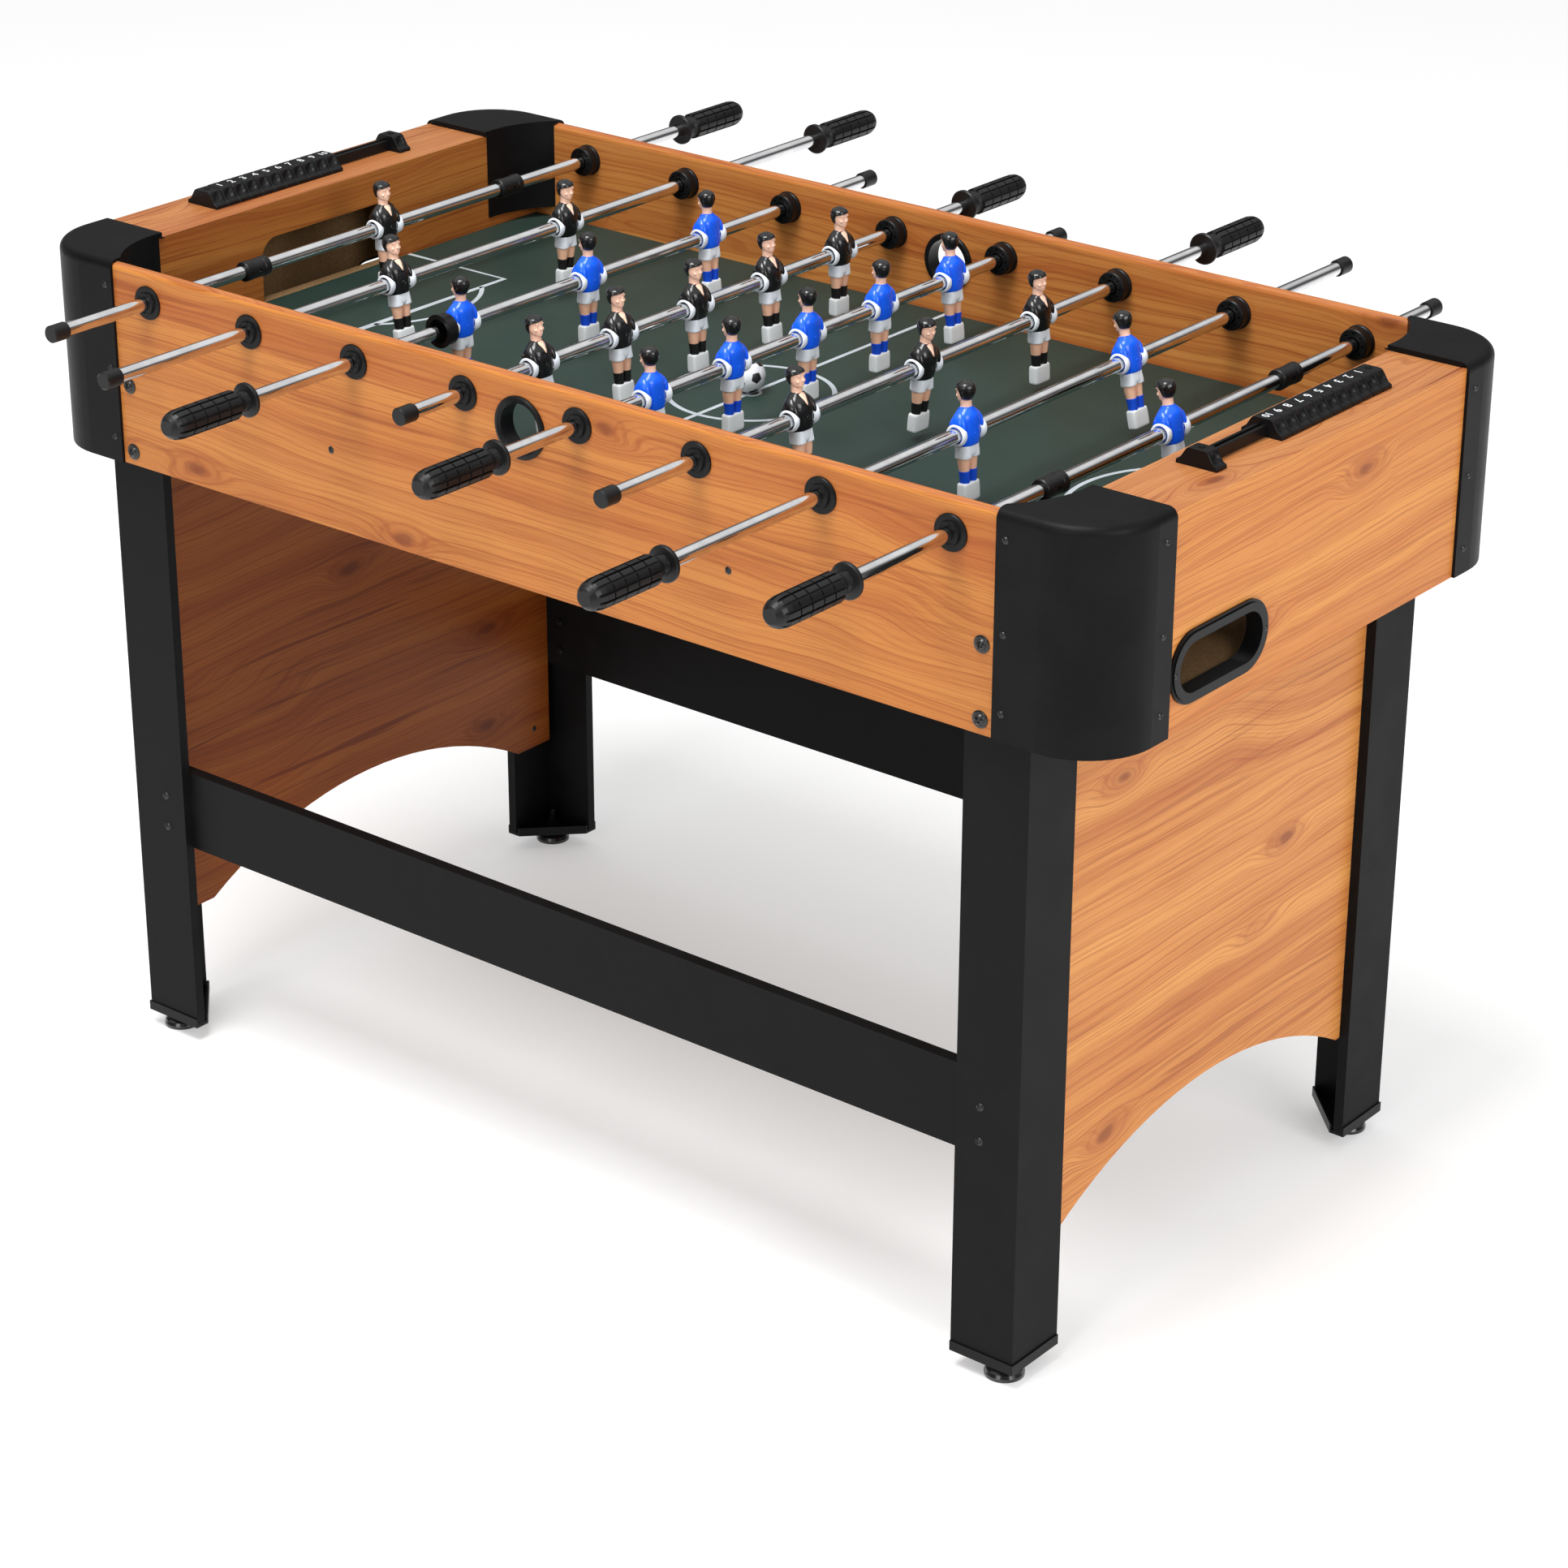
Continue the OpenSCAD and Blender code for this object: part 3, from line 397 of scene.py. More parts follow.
# ---------------------------------------------------------------- players (millimetres about the rod axis, facing +X)
HEAD = [(25.2, 2.5, 0, 1.8, 2.2, 2.0), (26.2, 2.2, 0, 3.9, 4.2, 3.5), (27.8, 1.6, 0, 5.4, 5.8, 5.0), (30.2, 0.9, 0, 6.3, 7.0, 6.1), (33.2, 0.2, 0, 7.0, 7.8, 7.0),
        (36.2, 0, 0, 7.2, 8.1, 7.4), (38.8, 0, 0, 7.2, 8.1, 7.4), (41.2, -0.2, 0, 6.3, 7.2, 6.6), (43.0, -0.4, 0, 4.2, 5.0, 4.5), (43.8, -0.4, 0, 1.6, 2.0, 1.8)]
def head_at(z, a):
    h = np.array(HEAD)
    vals = [np.interp(z, h[:, 0], h[:, k]) for k in range(1, 6)]
    c, s = math.cos(a), math.sin(a)
    return vals[0] + (vals[2] if c > 0 else vals[3]) * c, vals[4] * s

def hair():
    seg, n = 48, 12
    v, f = [(-0.4, 0, 45.0)], []
    for j in range(1, n + 1):
        for k in range(seg):
            a = 2 * math.pi * k / seg
            d = abs((a + math.pi) % (2 * math.pi) - math.pi)        # 0 front, pi back
            part = 0.8 * math.sin(a - 0.5) * max(0, math.cos(d))     # slight side parting
            low = np.interp(d, [0, 0.9, 1.30, 1.50, 1.66, 1.80, 2.3, math.pi], [39.9, 39.0, 37.9, 36.4, 32.6, 30.2, 28.6, 28.0]) + part
            zt = 45.0 + (low - 45.0) * (j / n) ** 1.15
            x, y = head_at(min(zt, 43.4), a)
            off = 1.05 + 0.10 * math.sin(a * 9 + zt * 0.5) * min(1, j / 4)
            sc = 1.0
            if zt > 43.4: sc = math.sqrt(max(0, (45.0 - zt) / 1.6))
            l = math.hypot(x + 0.2, y)
            k2 = (l * sc + off * min(1, (45.0 - zt) / 1.4 + 0.25)) / max(l, 1e-6)
            v.append((x * k2 if l > 0 else x, y * k2, zt))
    for k in range(seg): f.append((0, 1 + k, 1 + (k + 1) % seg))
    for j in range(n - 1):
        for k in range(seg):
            a, b = 1 + j * seg + k, 1 + j * seg + (k + 1) % seg
            f.append((a, a + seg, b + seg, b))
    # turn the edge in under the hair
    o = len(v)
    for k in range(seg):
        x, y, z = v[1 + (n - 1) * seg + k]
        v.append((x * 0.86, y * 0.86, z + 0.5))
    for k in range(seg):
        a, b = 1 + (n - 1) * seg + k, 1 + (n - 1) * seg + (k + 1) % seg
        f.append((a, o + k, o + (k + 1) % seg, b))
    return v, f

def ellipsoid(c, r, seg=16, n=9):
    rows = []
    for j in range(n):
        t = math.pi * j / (n - 1)
        s = max(0.02, math.sin(t))
        rows.append((c[2] - r[2] * math.cos(t), c[0], c[1], r[0] * s, r[0] * s, r[1] * s))
    v, f = [], []
    for z, cx, cy, rf, rb, ry in rows:
        for k in range(seg):
            a = 2 * math.pi * k / seg
            v.append((cx + rf * math.cos(a), cy + ry * math.sin(a), z))
    for j in range(n - 1):
        for k in range(seg):
            a, b = j * seg + k, j * seg + (k + 1) % seg
            f.append((a, b, b + seg, a + seg))
    return v, f

def player_parts(shirt, sock):
    out = []
    out.append((*loft([(-60.8, 0, 0, 3.6, 3.6, 9.4), (-60.5, 0, 0, 4.4, 4.4, 10.5), (-59.7, 0, 0, 4.85, 4.85, 11.0), (-57.5, 0, 0, 5.0, 5.0, 11.2), (-50, 0, 0, 5.0, 5.0, 11.2),
                       (-46, 0, 0, 4.9, 4.9, 11.0), (-44.6, 0, 0, 4.6, 4.6, 10.6), (-43.9, 0, 0, 3.8, 3.8, 9.6)], 32, 18, 6.0), "p_foot"))
    for s in (-1, 1):
        out.append((*loft([(-46, 0, s*4.8, 4.2, 4.2, 4.2), (-42, 0, s*4.8, 4.3, 4.3, 4.25), (-38, 0, s*4.9, 4.5, 4.5, 4.4), (-34.4, 0, s*5.0, 4.85, 4.85, 4.7), (-33.7, 0, s*5.0, 4.8, 4.8, 4.65), (-33.4, 0, s*5.0, 4.4, 4.4, 4.3)], 20, 11, 2.2), sock))
        out.append((*loft([(-36, 0, s*5.0, 4.2, 4.2, 4.15), (-32, 0.1, s*5.05, 4.65, 4.6, 4.5), (-27, 0.2, s*5.2, 5.2, 5.1, 4.95), (-20, 0, s*5.3, 5.7, 5.6, 5.2)], 20, 9, 2.1), "p_leg"))
        # shorts leg
        out.append((*loft([(-22.4, 0.1, s*5.5, 4.9, 4.9, 4.2), (-22.1, 0.1, s*5.5, 6.8, 6.8, 5.5), (-21.2, 0.1, s*5.5, 7.3, 7.3, 5.8), (-18, 0, s*5.3, 7.25, 7.4, 5.7), (-14, 0, s*5.1, 7.1, 7.3, 5.5), (-10, 0, s*4.9, 6.9, 7.1, 5.3)], 24, 14, 2.5), "p_white"))
    out.append((*loft([(-20.6, 0, 0, 5.4, 5.6, 8.4), (-19.4, 0, 0, 6.9, 7.1, 10.2), (-16, 0, 0, 7.3, 7.5, 10.7), (-12, 0, 0, 7.4, 7.6, 10.5), (-8.5, 0, 0, 7.0, 7.2, 9.8)], 24, 10, 2.4), "p_white"))
    # shirt: trunk, then a rounded upper arm each side
    out.append((*loft([(-11.0, 0, 0, 5.8, 5.8, 8.4), (-10.8, 0, 0, 7.7, 7.9, 10.6), (-9.8, 0, 0, 8.5, 8.8, 11.4), (-6, 0.05, 0, 9.2, 9.5, 12.0), (0, 0.15, 0, 9.9, 10.0, 12.6), (6, 0.3, 0, 10.2, 10.1, 13.1),
                       (11.5, 0.2, 0, 9.9, 9.9, 13.0), (15.2, -0.1, 0, 8.7, 9.1, 12.2), (18.2, -0.4, 0, 6.9, 7.4, 10.0), (20.4, -0.5, 0, 5.6, 6.0, 7.2), (21.8, -0.5, 0, 5.0, 5.2, 5.5), (22.3, -0.5, 0, 4.6, 4.7, 4.8)], 32, 32, 2.35), shirt))
    for s in (-1, 1):
        out.append((*loft([(-8.6, 0, s*10.6, 3.2, 3.2, 1.2), (-6.6, 0, s*11.0, 6.2, 6.2, 2.2), (-2, 0.1, s*11.6, 8.2, 8.2, 2.7), (4, 0.2, s*11.9, 8.9, 8.9, 3.3), (9, 0.1, s*11.9, 8.2, 8.2, 4.0), (12.8, -0.1, s*11.1, 6.8, 6.8, 4.1), (16, -0.2, s*9.6, 4.7, 4.7, 3.8), (18.6, -0.3, s*7.9, 2.6, 2.6, 2.8)], 24, 20, 2.2), shirt))
        # cuff: short bell round the rod, shirt colour showing deep inside it
        rot = Matrix.Rotation(math.radians(-90 * s), 4, "X")
        v, f = lathe([(8.0, 9.6), (9.2, 11.2), (9.75, 12.6), (9.8, 14.6), (9.6, 16.0), (9.2, 16.75), (8.6, 17.0), (8.0, 16.9), (7.55, 16.4), (7.3, 15.4), (7.2, 14.4)], 40)
        out.append(([tuple(rot @ Vector(p)) for p in v], f, "p_white"))
        v, f = lathe([(7.4, 14.7), (6.42, 14.6), (6.42, 11.0)], 40)
        out.append(([tuple(rot @ Vector(p)) for p in v], f, shirt))
    # neck and the open collar
    out.append((*loft([(17.5, -0.4, 0, 4.8, 5.0, 5.0), (22, -0.4, 0, 4.7, 4.9, 4.8), (25.5, -0.2, 0, 4.8, 4.9, 4.9), (30, 0.2, 0, 5.4, 5.4, 5.4)], 20, 9, 2.0), "p_skin"))
    out.append((*loft([(10.6, 9.9, 0, 0.25, 1.5, 0.15), (13.0, 8.7, 0, 1.45, 2.0, 1.3), (16.0, 6.8, 0, 1.75, 2.4, 2.6), (18.6, 4.9, 0, 2.3, 2.4, 3.7), (20.8, 2.9, 0, 2.3, 2.4, 4.5), (22.3, 1.6, 0, 2.6, 2.4, 4.6)], 20, 14, 2.0), "p_skin"))
    for s in (-1, 1):   # collar edges
        rows = []
        for k in range(7):
            t = k / 6
            rows.append((10.0 + 11.6 * t, 10.3 - 7.3 * t ** 1.5, s * (0.5 + 4.7 * t ** 0.9), 0.6, 0.65, 0.6))
        out.append((*loft(rows, 10, 10, 2.0), shirt))
    # head: nose, chin, lips, brow, cheeks
    out.append((*loft(HEAD, 32, 26, 2.0), "p_skin"))
    out.append((*loft([(31.2, 6.7, 0, 0.7, 1.5, 1.0), (31.9, 7.1, 0, 1.75, 1.5, 1.5), (32.9, 7.1, 0, 1.45, 1.5, 1.2), (34.7, 6.8, 0, 0.95, 1.5, 0.85), (36.6, 6.7, 0, 0.55, 1.2, 0.95)], 14, 10, 2.0), "p_skin"))
    out.append((*ellipsoid((5.2, 0, 27.2), (1.8, 2.2, 1.6)), "p_skin"))
    out.append((*ellipsoid((6.4, 0, 29.75), (0.75, 1.9, 0.42)), "p_skin"))
    out.append((*ellipsoid((6.5, 0, 28.95), (0.7, 1.6, 0.40)), "p_skin"))
    for s in (-1, 1):
        out.append((*ellipsoid((6.1, s*2.9, 36.9), (1.25, 2.1, 0.75)), "p_skin"))
        out.append((*ellipsoid((5.0, s*4.0, 31.9), (1.5, 1.7, 1.8)), "p_skin"))
    out.append((*hair(), "p_black"))
    # screw hole in the chest and the moulding mark on the back
    rot = Matrix.Rotation(math.radians(90), 4, "Y")
    v, f = lathe([(2.15, 9.2), (2.1, 10.25), (1.6, 10.45), (1.35, 10.0), (1.3, 8.6), (0.01, 8.5)], 20)
    out.append(([tuple(rot @ Vector(p)) for p in v], f, shirt))
    out.append((*ellipsoid((-9.8, 0.6, 0.2), (0.55, 0.9, 0.9), 12, 9), shirt))
    return out

PARTS = {1: player_parts("p_black", "p_sock_black"), -1: player_parts("p_blue", "p_sock_blue")}
for i in range(8):
    me = Mesh()
    for y, a in zip(MEN_Y[i], MEN_A[i]):
        xf = Matrix.Translation((ROD[i][0], y * MM, ROD_Z)) @ Matrix.Rotation(math.radians(-a), 4, "Y") @ Matrix.Rotation(0 if FACING[i] > 0 else math.pi, 4, "Z") @ Matrix.Scale(MM, 4)
        for v, f, m in PARTS[FACING[i]]: me.add(v, f, m, True, xf)
    me.make("players_%d_look" % (i + 1), None, "player_rod_%d" % (i + 1), "player_black" if FACING[i] > 0 else "player_blue", ("players_%d" % (i + 1),))

# ---------------------------------------------------------------- printed pitch lines
def ribbon(me, pts, w, closed=False, z0=FIELD_Z, h=0.00012):
    """A flat painted stripe of width w along pts on the playfield."""
    p = [Vector((*q, 0)) for q in pts]
    n = len(p)
    L, R = [], []
    for i in range(n):
        a = p[i - 1] if (closed or i > 0) else p[i]
        b = p[(i + 1) % n] if (closed or i < n - 1) else p[i]
        d = (b - a).normalized()
        nn = Vector((-d.y, d.x, 0))
        if (closed or 0 < i < n - 1):
            d1 = (p[i] - p[i - 1]).normalized(); n1 = Vector((-d1.y, d1.x, 0))
            k = 1 / max(0.35, nn.dot(n1))
        else: k = 1
        L.append(p[i] + nn * (w / 2 * k)); R.append(p[i] - nn * (w / 2 * k))
    v = [(q.x, q.y, z0 + h) for q in L] + [(q.x, q.y, z0 + h) for q in R] + [(q.x, q.y, z0) for q in L] + [(q.x, q.y, z0) for q in R]
    f = []
    for i in range(n if closed else n - 1):
        j = (i + 1) % n
        f += [(n + i, n + j, j, i), (i, j, 2*n + j, 2*n + i), (3*n + i, 3*n + j, n + j, n + i), (2*n + i, 2*n + j, 3*n + j, 3*n + i)]
    if not closed:
        f += [(0, 2*n, 3*n, n), (n - 1, 2*n - 1, 4*n - 1, 3*n - 1)]
    me.add(v, f, "line", False)

LW = 0.0046
me = Mesh()
circ = lambda cx, cy, r, a0, a1, n: [(cx + r * math.cos(a0 + (a1 - a0) * k / n), cy + r * math.sin(a0 + (a1 - a0) * k / n)) for k in range(n + 1)]
yw = pf_hi[1] - 0.0002
xw = pf_hi[0] - 0.0002
ribbon(me, [(0, -yw), (0, yw)], LW)
ribbon(me, circ(0, 0, 0.0765, 0, 2 * math.pi, 72)[:-1], LW, True, FIELD_Z, 0.00016)
ribbon(me, circ(0, 0, 0.0088, 0, 2 * math.pi, 24)[:-1], 0.0030, True, FIELD_Z, 0.00018)
for s in (-1, 1):
    bx, by = 0.4035, 0.1085
    ribbon(me, [(s*xw, -by), (s*bx, -by), (s*bx, by), (s*xw, by)], LW)
    r = 0.104
    a = math.acos((0.475 - bx) / r)
    pts = circ(s * 0.475, 0, r, (math.pi - a) if s > 0 else -a, (math.pi + a) if s > 0 else a, 28)
    ribbon(me, pts, LW)
me.make("pitch_lines", None, "table", "green_playfield")

# ---------------------------------------------------------------- score units
BEAD = [(20, 0.3), (20, 3.4), (19.6, 3.9), (16.9, 5.3), (16.3, 5.8), (15.4, 7.1), (14.5, 8.5), (13.6, 9.9), (12.7, 11.3), (11.8, 12.7), (11.0, 13.9), (10.0, 14.9), (8.6, 15.7), (7.2, 16.0), (3.5, 16.0)]
def bead(me, y0, y1, base, mat, scoop=1.0, hole=False):
    """One moulded block across the rail with a lens-shaped finger hollow on each flank; y0 < y1, millimetres."""
    ny = 21
    prof = [(x, z) for x, z in BEAD] + [(-x, z) for x, z in reversed(BEAD)]
    m = len(prof)
    v, f = [], []
    for j in range(ny):
        t = j / (ny - 1)
        y = y0 + (y1 - y0) * t
        edge = 0.40 * (1 - min(1, min(t, 1 - t) * 10)) ** 2
        for x, z in prof:
            # slanting almond on the flank
            q = (z - 10.0) / 4.8
            e = (t - 0.5 + 0.10 * q) / 0.36
            w = max(0.0, 1 - q * q - e * e) if 5.5 < z < 14.9 else 0.0
            d = scoop * 2.6 * w ** 0.8
            sx = math.copysign(1, x)
            v.append((x - sx * (d * 0.85 + edge), y, z - d * 0.50 - edge * (z > 1) + base))
    for j in range(ny - 1):
        for k in range(m - 1):
            a = j * m + k
            f.append((a, a + m, a + m + 1, a + 1))
        f.append((j * m + m - 1, (j + 1) * m + m - 1, (j + 1) * m, j * m))
    me.add(v, f, mat, True)
    for j, flip in ((0, False), (ny - 1, True)):
        o = [v[j * m + k] for k in range(m)]
        me.add(o, [tuple(range(m)) if not flip else tuple(reversed(range(m)))], mat, False)

def digit_mesh(text, size):
    cu = bpy.data.curves.new("d", "FONT")
    cu.body = text
    cu.size = size
    cu.align_x, cu.align_y = "CENTER", "CENTER"
    cu.extrude = 0.00006
    cu.offset = size * 0.012
    cu.resolution_u = 3
    ob = bpy.data.objects.new("d", cu)
    bpy.context.scene.collection.objects.link(ob)
    bpy.context.view_layer.update()
    m = bpy.data.meshes.new_from_object(ob.evaluated_get(bpy.context.evaluated_depsgraph_get()))
    v = [tuple(q.co) for q in m.vertices]
    f = [tuple(p.vertices) for p in m.polygons]
    bpy.data.objects.remove(ob); bpy.data.curves.remove(cu); bpy.data.meshes.remove(m)
    xs = [q[0] for q in v]; ys = [q[1] for q in v]
    cx, cy = (min(xs) + max(xs)) / 2, (min(ys) + max(ys)) / 2
    return [(q[0] - cx, q[1] - cy, q[2]) for q in v], f

RAIL_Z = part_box("end_rails")[1][2]
br_lo, br_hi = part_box("score_beads_right")
bl_lo, bl_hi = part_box("score_beads_left")
UX = {1: (br_lo[0] + br_hi[0]) / 2, -1: (bl_lo[0] + bl_hi[0]) / 2}
sr_lo, sr_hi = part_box("score_rails")
Y_LO, Y_HI = sr_lo[1], sr_hi[1]
YC = (Y_LO + Y_HI) / 2
DIG = [digit_mesh(str(k), 0.0118 if k < 10 else 0.0104) for k in range(1, 11)]
P = 0.0157
for side in (1, -1):
    half = Matrix.Translation((UX[side], YC, RAIL_Z)) @ Matrix.Rotation(0 if side > 0 else math.pi, 4, "Z") @ Matrix.Translation((0, -YC, 0))
    mm = Matrix.Scale(MM, 4)
    b = Mesh()
    dg = Mesh()
    top = br_hi[1]
    for k in range(10):
        y1 = top - k * P
        y0 = y1 - (P - 0.0003)
        one = Mesh()
        bead(one, y0 / MM, y1 / MM, 0.0, "black")
        b.v, b.f, b.m, b.s = b.v, b.f, b.m, b.s
        o = len(b.v)
        b.v += [tuple(half @ (mm @ Vector(q))) for q in one.v]
        b.f += [tuple(o + i for i in q) for q in one.f]; b.m += one.m; b.s += one.s
        v, f = DIG[k]
        # digits stand upright for someone reading from the middle of the table
        xf = half @ Matrix.Translation((-0.0005, (y0 + y1) / 2, 0.01602)) @ Matrix.Rotation(-math.pi / 2, 4, "Z")
        dg.add(v, f, "digit", False, xf)
    nm = "right" if side > 0 else "left"
    b.make("score_beads_%s_look" % nm, None, "score_beads_%s_body" % nm, "black_plastic", ("score_beads_%s" % nm,), 38)
    dg.make("score_digits_%s" % nm, None, "score_beads_%s_body" % nm, "black_plastic")
r = Mesh()
for side in (1, -1):
    half = Matrix.Translation((UX[side], YC, RAIL_Z)) @ Matrix.Rotation(0 if side > 0 else math.pi, 4, "Z") @ Matrix.Translation((0, -YC, 0))
    mm = Matrix.Scale(MM, 4)
    one = Mesh()
    bead(one, Y_HI / MM - 15, Y_HI / MM, -0.3, "black", 0.7)
    bead(one, Y_LO / MM, Y_LO / MM + 15, -0.3, "black", 0.9)
    # guide bar: a channel with a slot along its top
    prof = [(-5.0, 1.5), (5.0, 1.5), (5.0, 10.6), (4.6, 11.0), (1.9, 11.0), (1.6, 8.0), (-1.6, 8.0), (-1.9, 11.0), (-4.6, 11.0), (-5.0, 10.6)]
    ya, yb = Y_LO / MM + 5, Y_HI / MM - 5
    v = [(x, ya, z) for x, z in prof] + [(x, yb, z) for x, z in prof]
    m = len(prof)
    one.add(v, [(k, (k + 1) % m, m + (k + 1) % m, m + k) for k in range(m)] + [tuple(range(m)), tuple(reversed(range(m, 2 * m)))], "black", False)
    # screw recess on each end block
    for yy in (Y_HI / MM - 7.5, Y_LO / MM + 7.5):
        v, f = lathe([(2.9, 15.6), (2.9, 16.15), (2.3, 16.2), (2.1, 15.9), (1.9, 14.9), (0.01, 14.9)], 24)
        one.add([(x, y + yy, z - 0.0) for x, y, z in v], f, "black", True)
    o = len(r.v)
    r.v += [tuple(half @ (mm @ Vector(q))) for q in one.v]
    r.f += [tuple(o + i for i in q) for q in one.f]; r.m += one.m; r.s += one.s
r.make("score_rails_look", None, "table", "black_plastic", ("score_rails",), 38)

# ---------------------------------------------------------------- screws and bolts with cross recesses
def head(r, h, arm, wid, deep, seg=40, nr=12, spin=0.0):
    v, f = [(0, 0, h - deep)], []
    for j in range(1, nr + 1):
        q = j / nr
        for k in range(seg):
            a = 2 * math.pi * k / seg
            x, y = r * q * math.cos(a), r * q * math.sin(a)
            z = h * (1 - q ** 2.6) if q < 1 else 0
            xr, yr = x * math.cos(spin) - y * math.sin(spin), x * math.sin(spin) + y * math.cos(spin)
            if (abs(xr) < wid and abs(yr) < arm) or (abs(yr) < wid and abs(xr) < arm): z = min(z, h - deep)
            v.append((x, y, z))
    for k in range(seg): f.append((0, 1 + k, 1 + (k + 1) % seg))
    for j in range(nr - 1):
        for k in range(seg):
            a, b = 1 + j * seg + k, 1 + j * seg + (k + 1) % seg
            f.append((a, a + seg, b + seg, b))
    o = len(v)
    for k in range(seg): v.append((r * math.cos(2*math.pi*k/seg), r * math.sin(2*math.pi*k/seg), -0.1))
    for k in range(seg):
        a, b = 1 + (nr - 1) * seg + k, 1 + (nr - 1) * seg + (k + 1) % seg
        f.append((a, o + k, o + (k + 1) % seg, b))
    return v, f

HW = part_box("side_panel_back")[1][1] / MM
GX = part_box("corner_guards")[1][0] / MM
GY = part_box("corner_guards")[1][1] / MM
HLm = HL / MM
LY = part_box("leg_back_right")[1][1] / MM
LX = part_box("leg_back_right")[1][0] / MM
scr = Mesh()
rng = np.random.RandomState(4)
def put(x, y, z, dx, dy, r, h, arm, wid, deep, shank=9.0, nut=0):
    d = Vector((dx, dy, 0))
    q = Vector((0, 0, 1)).rotation_difference(d).to_matrix().to_4x4()
    xf = Matrix.Scale(MM, 4) @ Matrix.Translation((x, y, z)) @ q
    v, f = head(r, h, arm, wid, deep, spin=rng.uniform(0, 1.5))
    scr.add(v, f, "screw", True, xf)
    v, f = lathe([(0.01, -shank), (1.4 if r < 5 else 2.9, -shank), (1.4 if r < 5 else 2.9, 0)], 16)
    scr.add(v, f, "screw", True, xf)
for sx in (-1, 1):
    for sy in (-1, 1):
        for z in (633, 701, 781):
            put(sx*513, sy*GY, z, 0, sy, 3.1, 1.5, 1.9, 0.42, 0.8)
            put(sx*GX, sy*236, z, sx, 0, 3.1, 1.5, 1.9, 0.42, 0.8)
        for z in (622, 687):
            put(sx*491, sy*(HW + 1.2), z, 0, sy, 5.3, 3.3, 3.0, 0.75, 1.5, 30)
            xf = Matrix.Scale(MM, 4) @ Matrix.Translation((sx*491, sy*HW, z)) @ Vector((0, 0, 1)).rotation_difference(Vector((0, sy, 0))).to_matrix().to_4x4()
            v, f = lathe([(7.7, 0), (7.7, 0.7), (7.3, 1.1), (6.0, 1.4), (5.0, 1.4)], 40)
            scr.add(v, f, "screw", True, xf)
            v, f = lathe([(2.9, -22), (5.6, -22), (6.2, -22.5), (6.4, -25.4), (5.9, -26.0), (2.9, -26.0)], 6)
            scr.add(v, f, "screw", False, xf)
        for z in (230, 263):
            put(sx*492, sy*LY, z, 0, sy, 4.0, 2.0, 2.4, 0.55, 1.0)
            xf = Matrix.Scale(MM, 4) @ Matrix.Translation((sx*492, sy*LY, z)) @ Vector((0, 0, 1)).rotation_difference(Vector((0, sy, 0))).to_matrix().to_4x4()
            v, f = lathe([(1.7, -22), (3.7, -22), (4.0, -22.4), (4.0, -24.2), (3.6, -24.6), (1.7, -24.6), (1.7, -26), (0.01, -26.2)], 6)
            scr.add(v, f, "screw", False, xf)
        put(sx*230, sy*HW, 684, 0, sy, 3.5, 1.3, 2.1, 0.5, 0.8)
        for z in (140, 560): put(sx*(LX - 22), sy*253, z, -sx, 0, 3.2, 1.5, 2.0, 0.45, 0.8)
for s in (-1, 1):
    for t in (-1, 1): put(s*(HLm + 4), s*(-151) + t*65.5, 661, s, 0, 2.5, 1.0, 1.6, 0.38, 0.6, 6)
scr.make("screws_and_bolts", None, "table", "blackened_steel", ("fasteners",), 40)

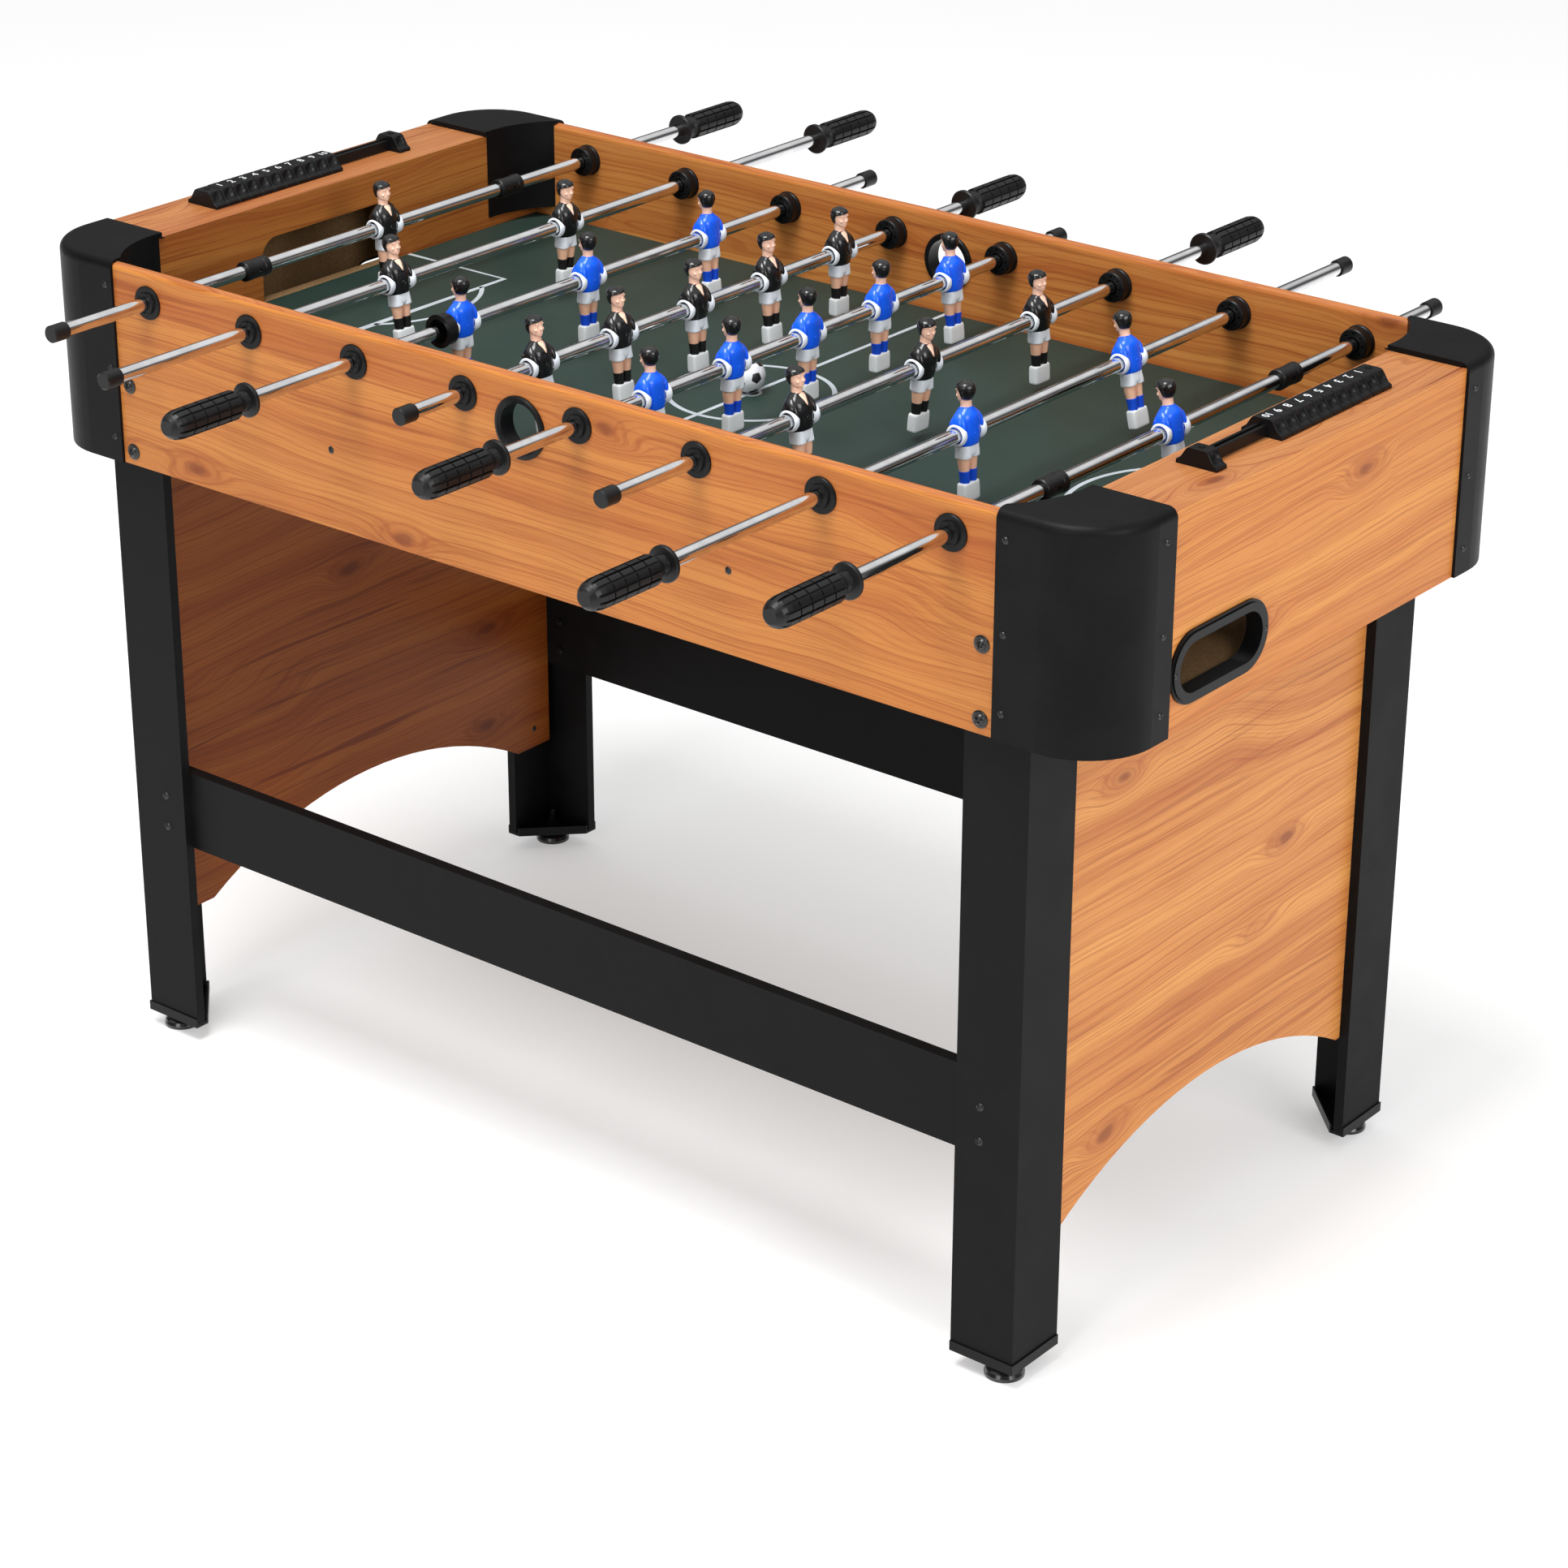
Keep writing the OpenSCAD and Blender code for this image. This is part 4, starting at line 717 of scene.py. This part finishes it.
# ---------------------------------------------------------------- ball
b_lo, b_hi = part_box("ball")
BC = Vector([(a + b) / 2 for a, b in zip(b_lo, b_hi)])
BR = (b_hi[2] - b_lo[2]) / 2
def ball():
    ph = (1 + 5 ** 0.5) / 2
    ico = [Vector(p).normalized() for p in [(-1, ph, 0), (1, ph, 0), (-1, -ph, 0), (1, -ph, 0), (0, -1, ph), (0, 1, ph), (0, -1, -ph), (0, 1, -ph), (ph, 0, -1), (ph, 0, 1), (-ph, 0, -1), (-ph, 0, 1)]]
    import bmesh
    bm = bmesh.new()
    bmesh.ops.create_icosphere(bm, subdivisions=6, radius=1.0)
    # directions of one black panel and of its neighbour
    da = Vector((0.921, -0.370, 0.124)).normalized()
    db = Vector((0.450, 0.362, 0.816)).normalized()
    db = (db - da * db.dot(da)).normalized()
    a0 = ico[9]
    b0 = min((q for q in ico if q is not a0), key=lambda q: abs(q.angle(a0) - 1.107))
    b0 = (b0 - a0 * b0.dot(a0)).normalized()
    A = Matrix((a0, b0, a0.cross(b0))).transposed()
    B = Matrix((da, db, da.cross(db))).transposed()
    R = B @ A.transposed()
    # panel planes of a truncated icosahedron: 12 pentagons, 20 hexagons
    hexes = []
    for i in range(12):
        for j in range(i + 1, 12):
            for k in range(j + 1, 12):
                if abs(ico[i].angle(ico[j]) - 1.107) < 0.01 and abs(ico[j].angle(ico[k]) - 1.107) < 0.01 and abs(ico[i].angle(ico[k]) - 1.107) < 0.01:
                    hexes.append((ico[i] + ico[j] + ico[k]).normalized())
    dp, dh = 0.9393, 0.9150   # distances of the two kinds of panel plane
    V = np.array([tuple(v.co) for v in bm.verts])
    pen = np.array([tuple(q) for q in ico]); hx = np.array([tuple(q) for q in hexes])
    tp = dp / np.maximum(V @ pen.T, 1e-6); th = dh / np.maximum(V @ hx.T, 1e-6)
    allt = np.concatenate([np.where(tp > 0, tp, 9), np.where(th > 0, th, 9)], axis=1)
    srt = np.sort(allt, axis=1)
    gap = (srt[:, 1] - srt[:, 0])
    kind = np.argmin(allt, axis=1)
    seam = np.clip(1 - gap / 0.012, 0, 1) ** 1.5
    rad = BR / MM * (1 - 0.022 * seam)
    m = Mesh()
    pos = [R @ (Vector(v) * float(q)) for v, q in zip(V, rad)]
    bm.verts.index_update()
    face, mats = [], []
    for f in bm.faces:
        idx = [v.index for v in f.verts]
        face.append(tuple(idx))
        mats.append("b_black" if sum(kind[i] < 12 for i in idx) >= 2 else "b_white")
    bm.free()
    xf = Matrix.Translation(BC) @ Matrix.Scale(MM, 4)
    m.v = [tuple(xf @ p) for p in pos]; m.f = face; m.m = mats; m.s = [True] * len(face)
    return m
ball().make("ball_look", None, "ball_body", "ball_white", ("ball",))

# ---------------------------------------------------------------- floor, light, camera
fm = NT("studio_floor")
fx = fm.coord()
fm.p(color=fm.mix(fm.noise(fm.vec(*fx), 3.0, 2.0, 0.5), (0.69, 0.69, 0.69), (0.71, 0.71, 0.71)), rough=0.9, spec=0.0)
fm.b.inputs["Emission Color"].default_value = (1.0, 1.0, 1.0, 1)
fm.b.inputs["Emission Strength"].default_value = 0.34
me = bpy.data.meshes.new("floor")
S = 14.0
me.from_pydata([(-S, -S, -0.0005), (S, -S, -0.0005), (S, S, -0.0005), (-S, S, -0.0005)], [], [(0, 1, 2, 3)])
floor = bpy.data.objects.new("floor", me)
me.materials.append(fm.m)
bpy.context.scene.collection.objects.link(floor)

w = bpy.data.worlds.new("studio")
bpy.context.scene.world = w
w.use_nodes = True
wt = w.node_tree
bg = wt.nodes["Background"]
tc = wt.nodes.new("ShaderNodeTexCoord")
sx = wt.nodes.new("ShaderNodeSeparateXYZ")
wt.links.new(tc.outputs["Generated"], sx.inputs[0])
cr = wt.nodes.new("ShaderNodeValToRGB")
while len(cr.color_ramp.elements) < 5: cr.color_ramp.elements.new(0.5)
for e, (p, c) in zip(cr.color_ramp.elements, [(0.0, 0.42), (0.10, 0.26), (0.27, 0.05), (0.40, 0.22), (0.60, 1.0)]):
    e.position = p
    e.color = (c, c, c, 1)
wt.links.new(sx.outputs[2], cr.inputs[0])
wt.links.new(cr.outputs[0], bg.inputs[0])
bg.inputs[1].default_value = 0.90

def area(name, loc, size, power, target=(0, 0, 0.6), sy=None, color=(1, 1, 1)):
    li = bpy.data.lights.new(name, "AREA")
    li.energy = power
    li.color = color
    li.size = size
    if sy: li.shape = "RECTANGLE"; li.size_y = sy
    ob = bpy.data.objects.new(name, li)
    ob.location = loc
    ob.rotation_euler = (Vector(target) - Vector(loc)).to_track_quat("-Z", "Y").to_euler()
    bpy.context.scene.collection.objects.link(ob)
    return ob
area("overhead", (0.0, -1.3, 4.1), 1.7, 140, (0, 0, 0.5))
area("key_right", (4.4, -0.9, 2.4), 2.2, 92, (0, 0, 0.5))
area("fill_front", (0.6, -4.7, 2.4), 2.0, 46, (0, 0, 0.5))

cam = bpy.data.cameras.new("camera")
co = bpy.data.objects.new("camera", cam)
bpy.context.scene.collection.objects.link(co)
K = 131.0 / 150.0 * MM
R = [(0.7785, 0.6277, 0.0029), (0.2637, -0.3229, -0.9089), (-0.5696, 0.7083, -0.4169)]
fwd = Vector(R[2]).normalized()
right = Vector(R[0]); right = (right - fwd * right.dot(fwd)).normalized()
up = right.cross(fwd)
mw = Matrix((right, up, -fwd)).transposed().to_4x4()
mw.translation = Vector((2580.3 * K, -3151.6 * K, 2225.7 * K))
co.matrix_world = mw
cam.sensor_width = 36.0
cam.lens = 36.0 * 5063.47 / 1932.0
cam.clip_end = 60
bpy.context.scene.camera = co
bpy.context.scene.view_settings.view_transform = "Standard"
bpy.context.scene.view_settings.look = "None"

bpy.context.view_layer.update()
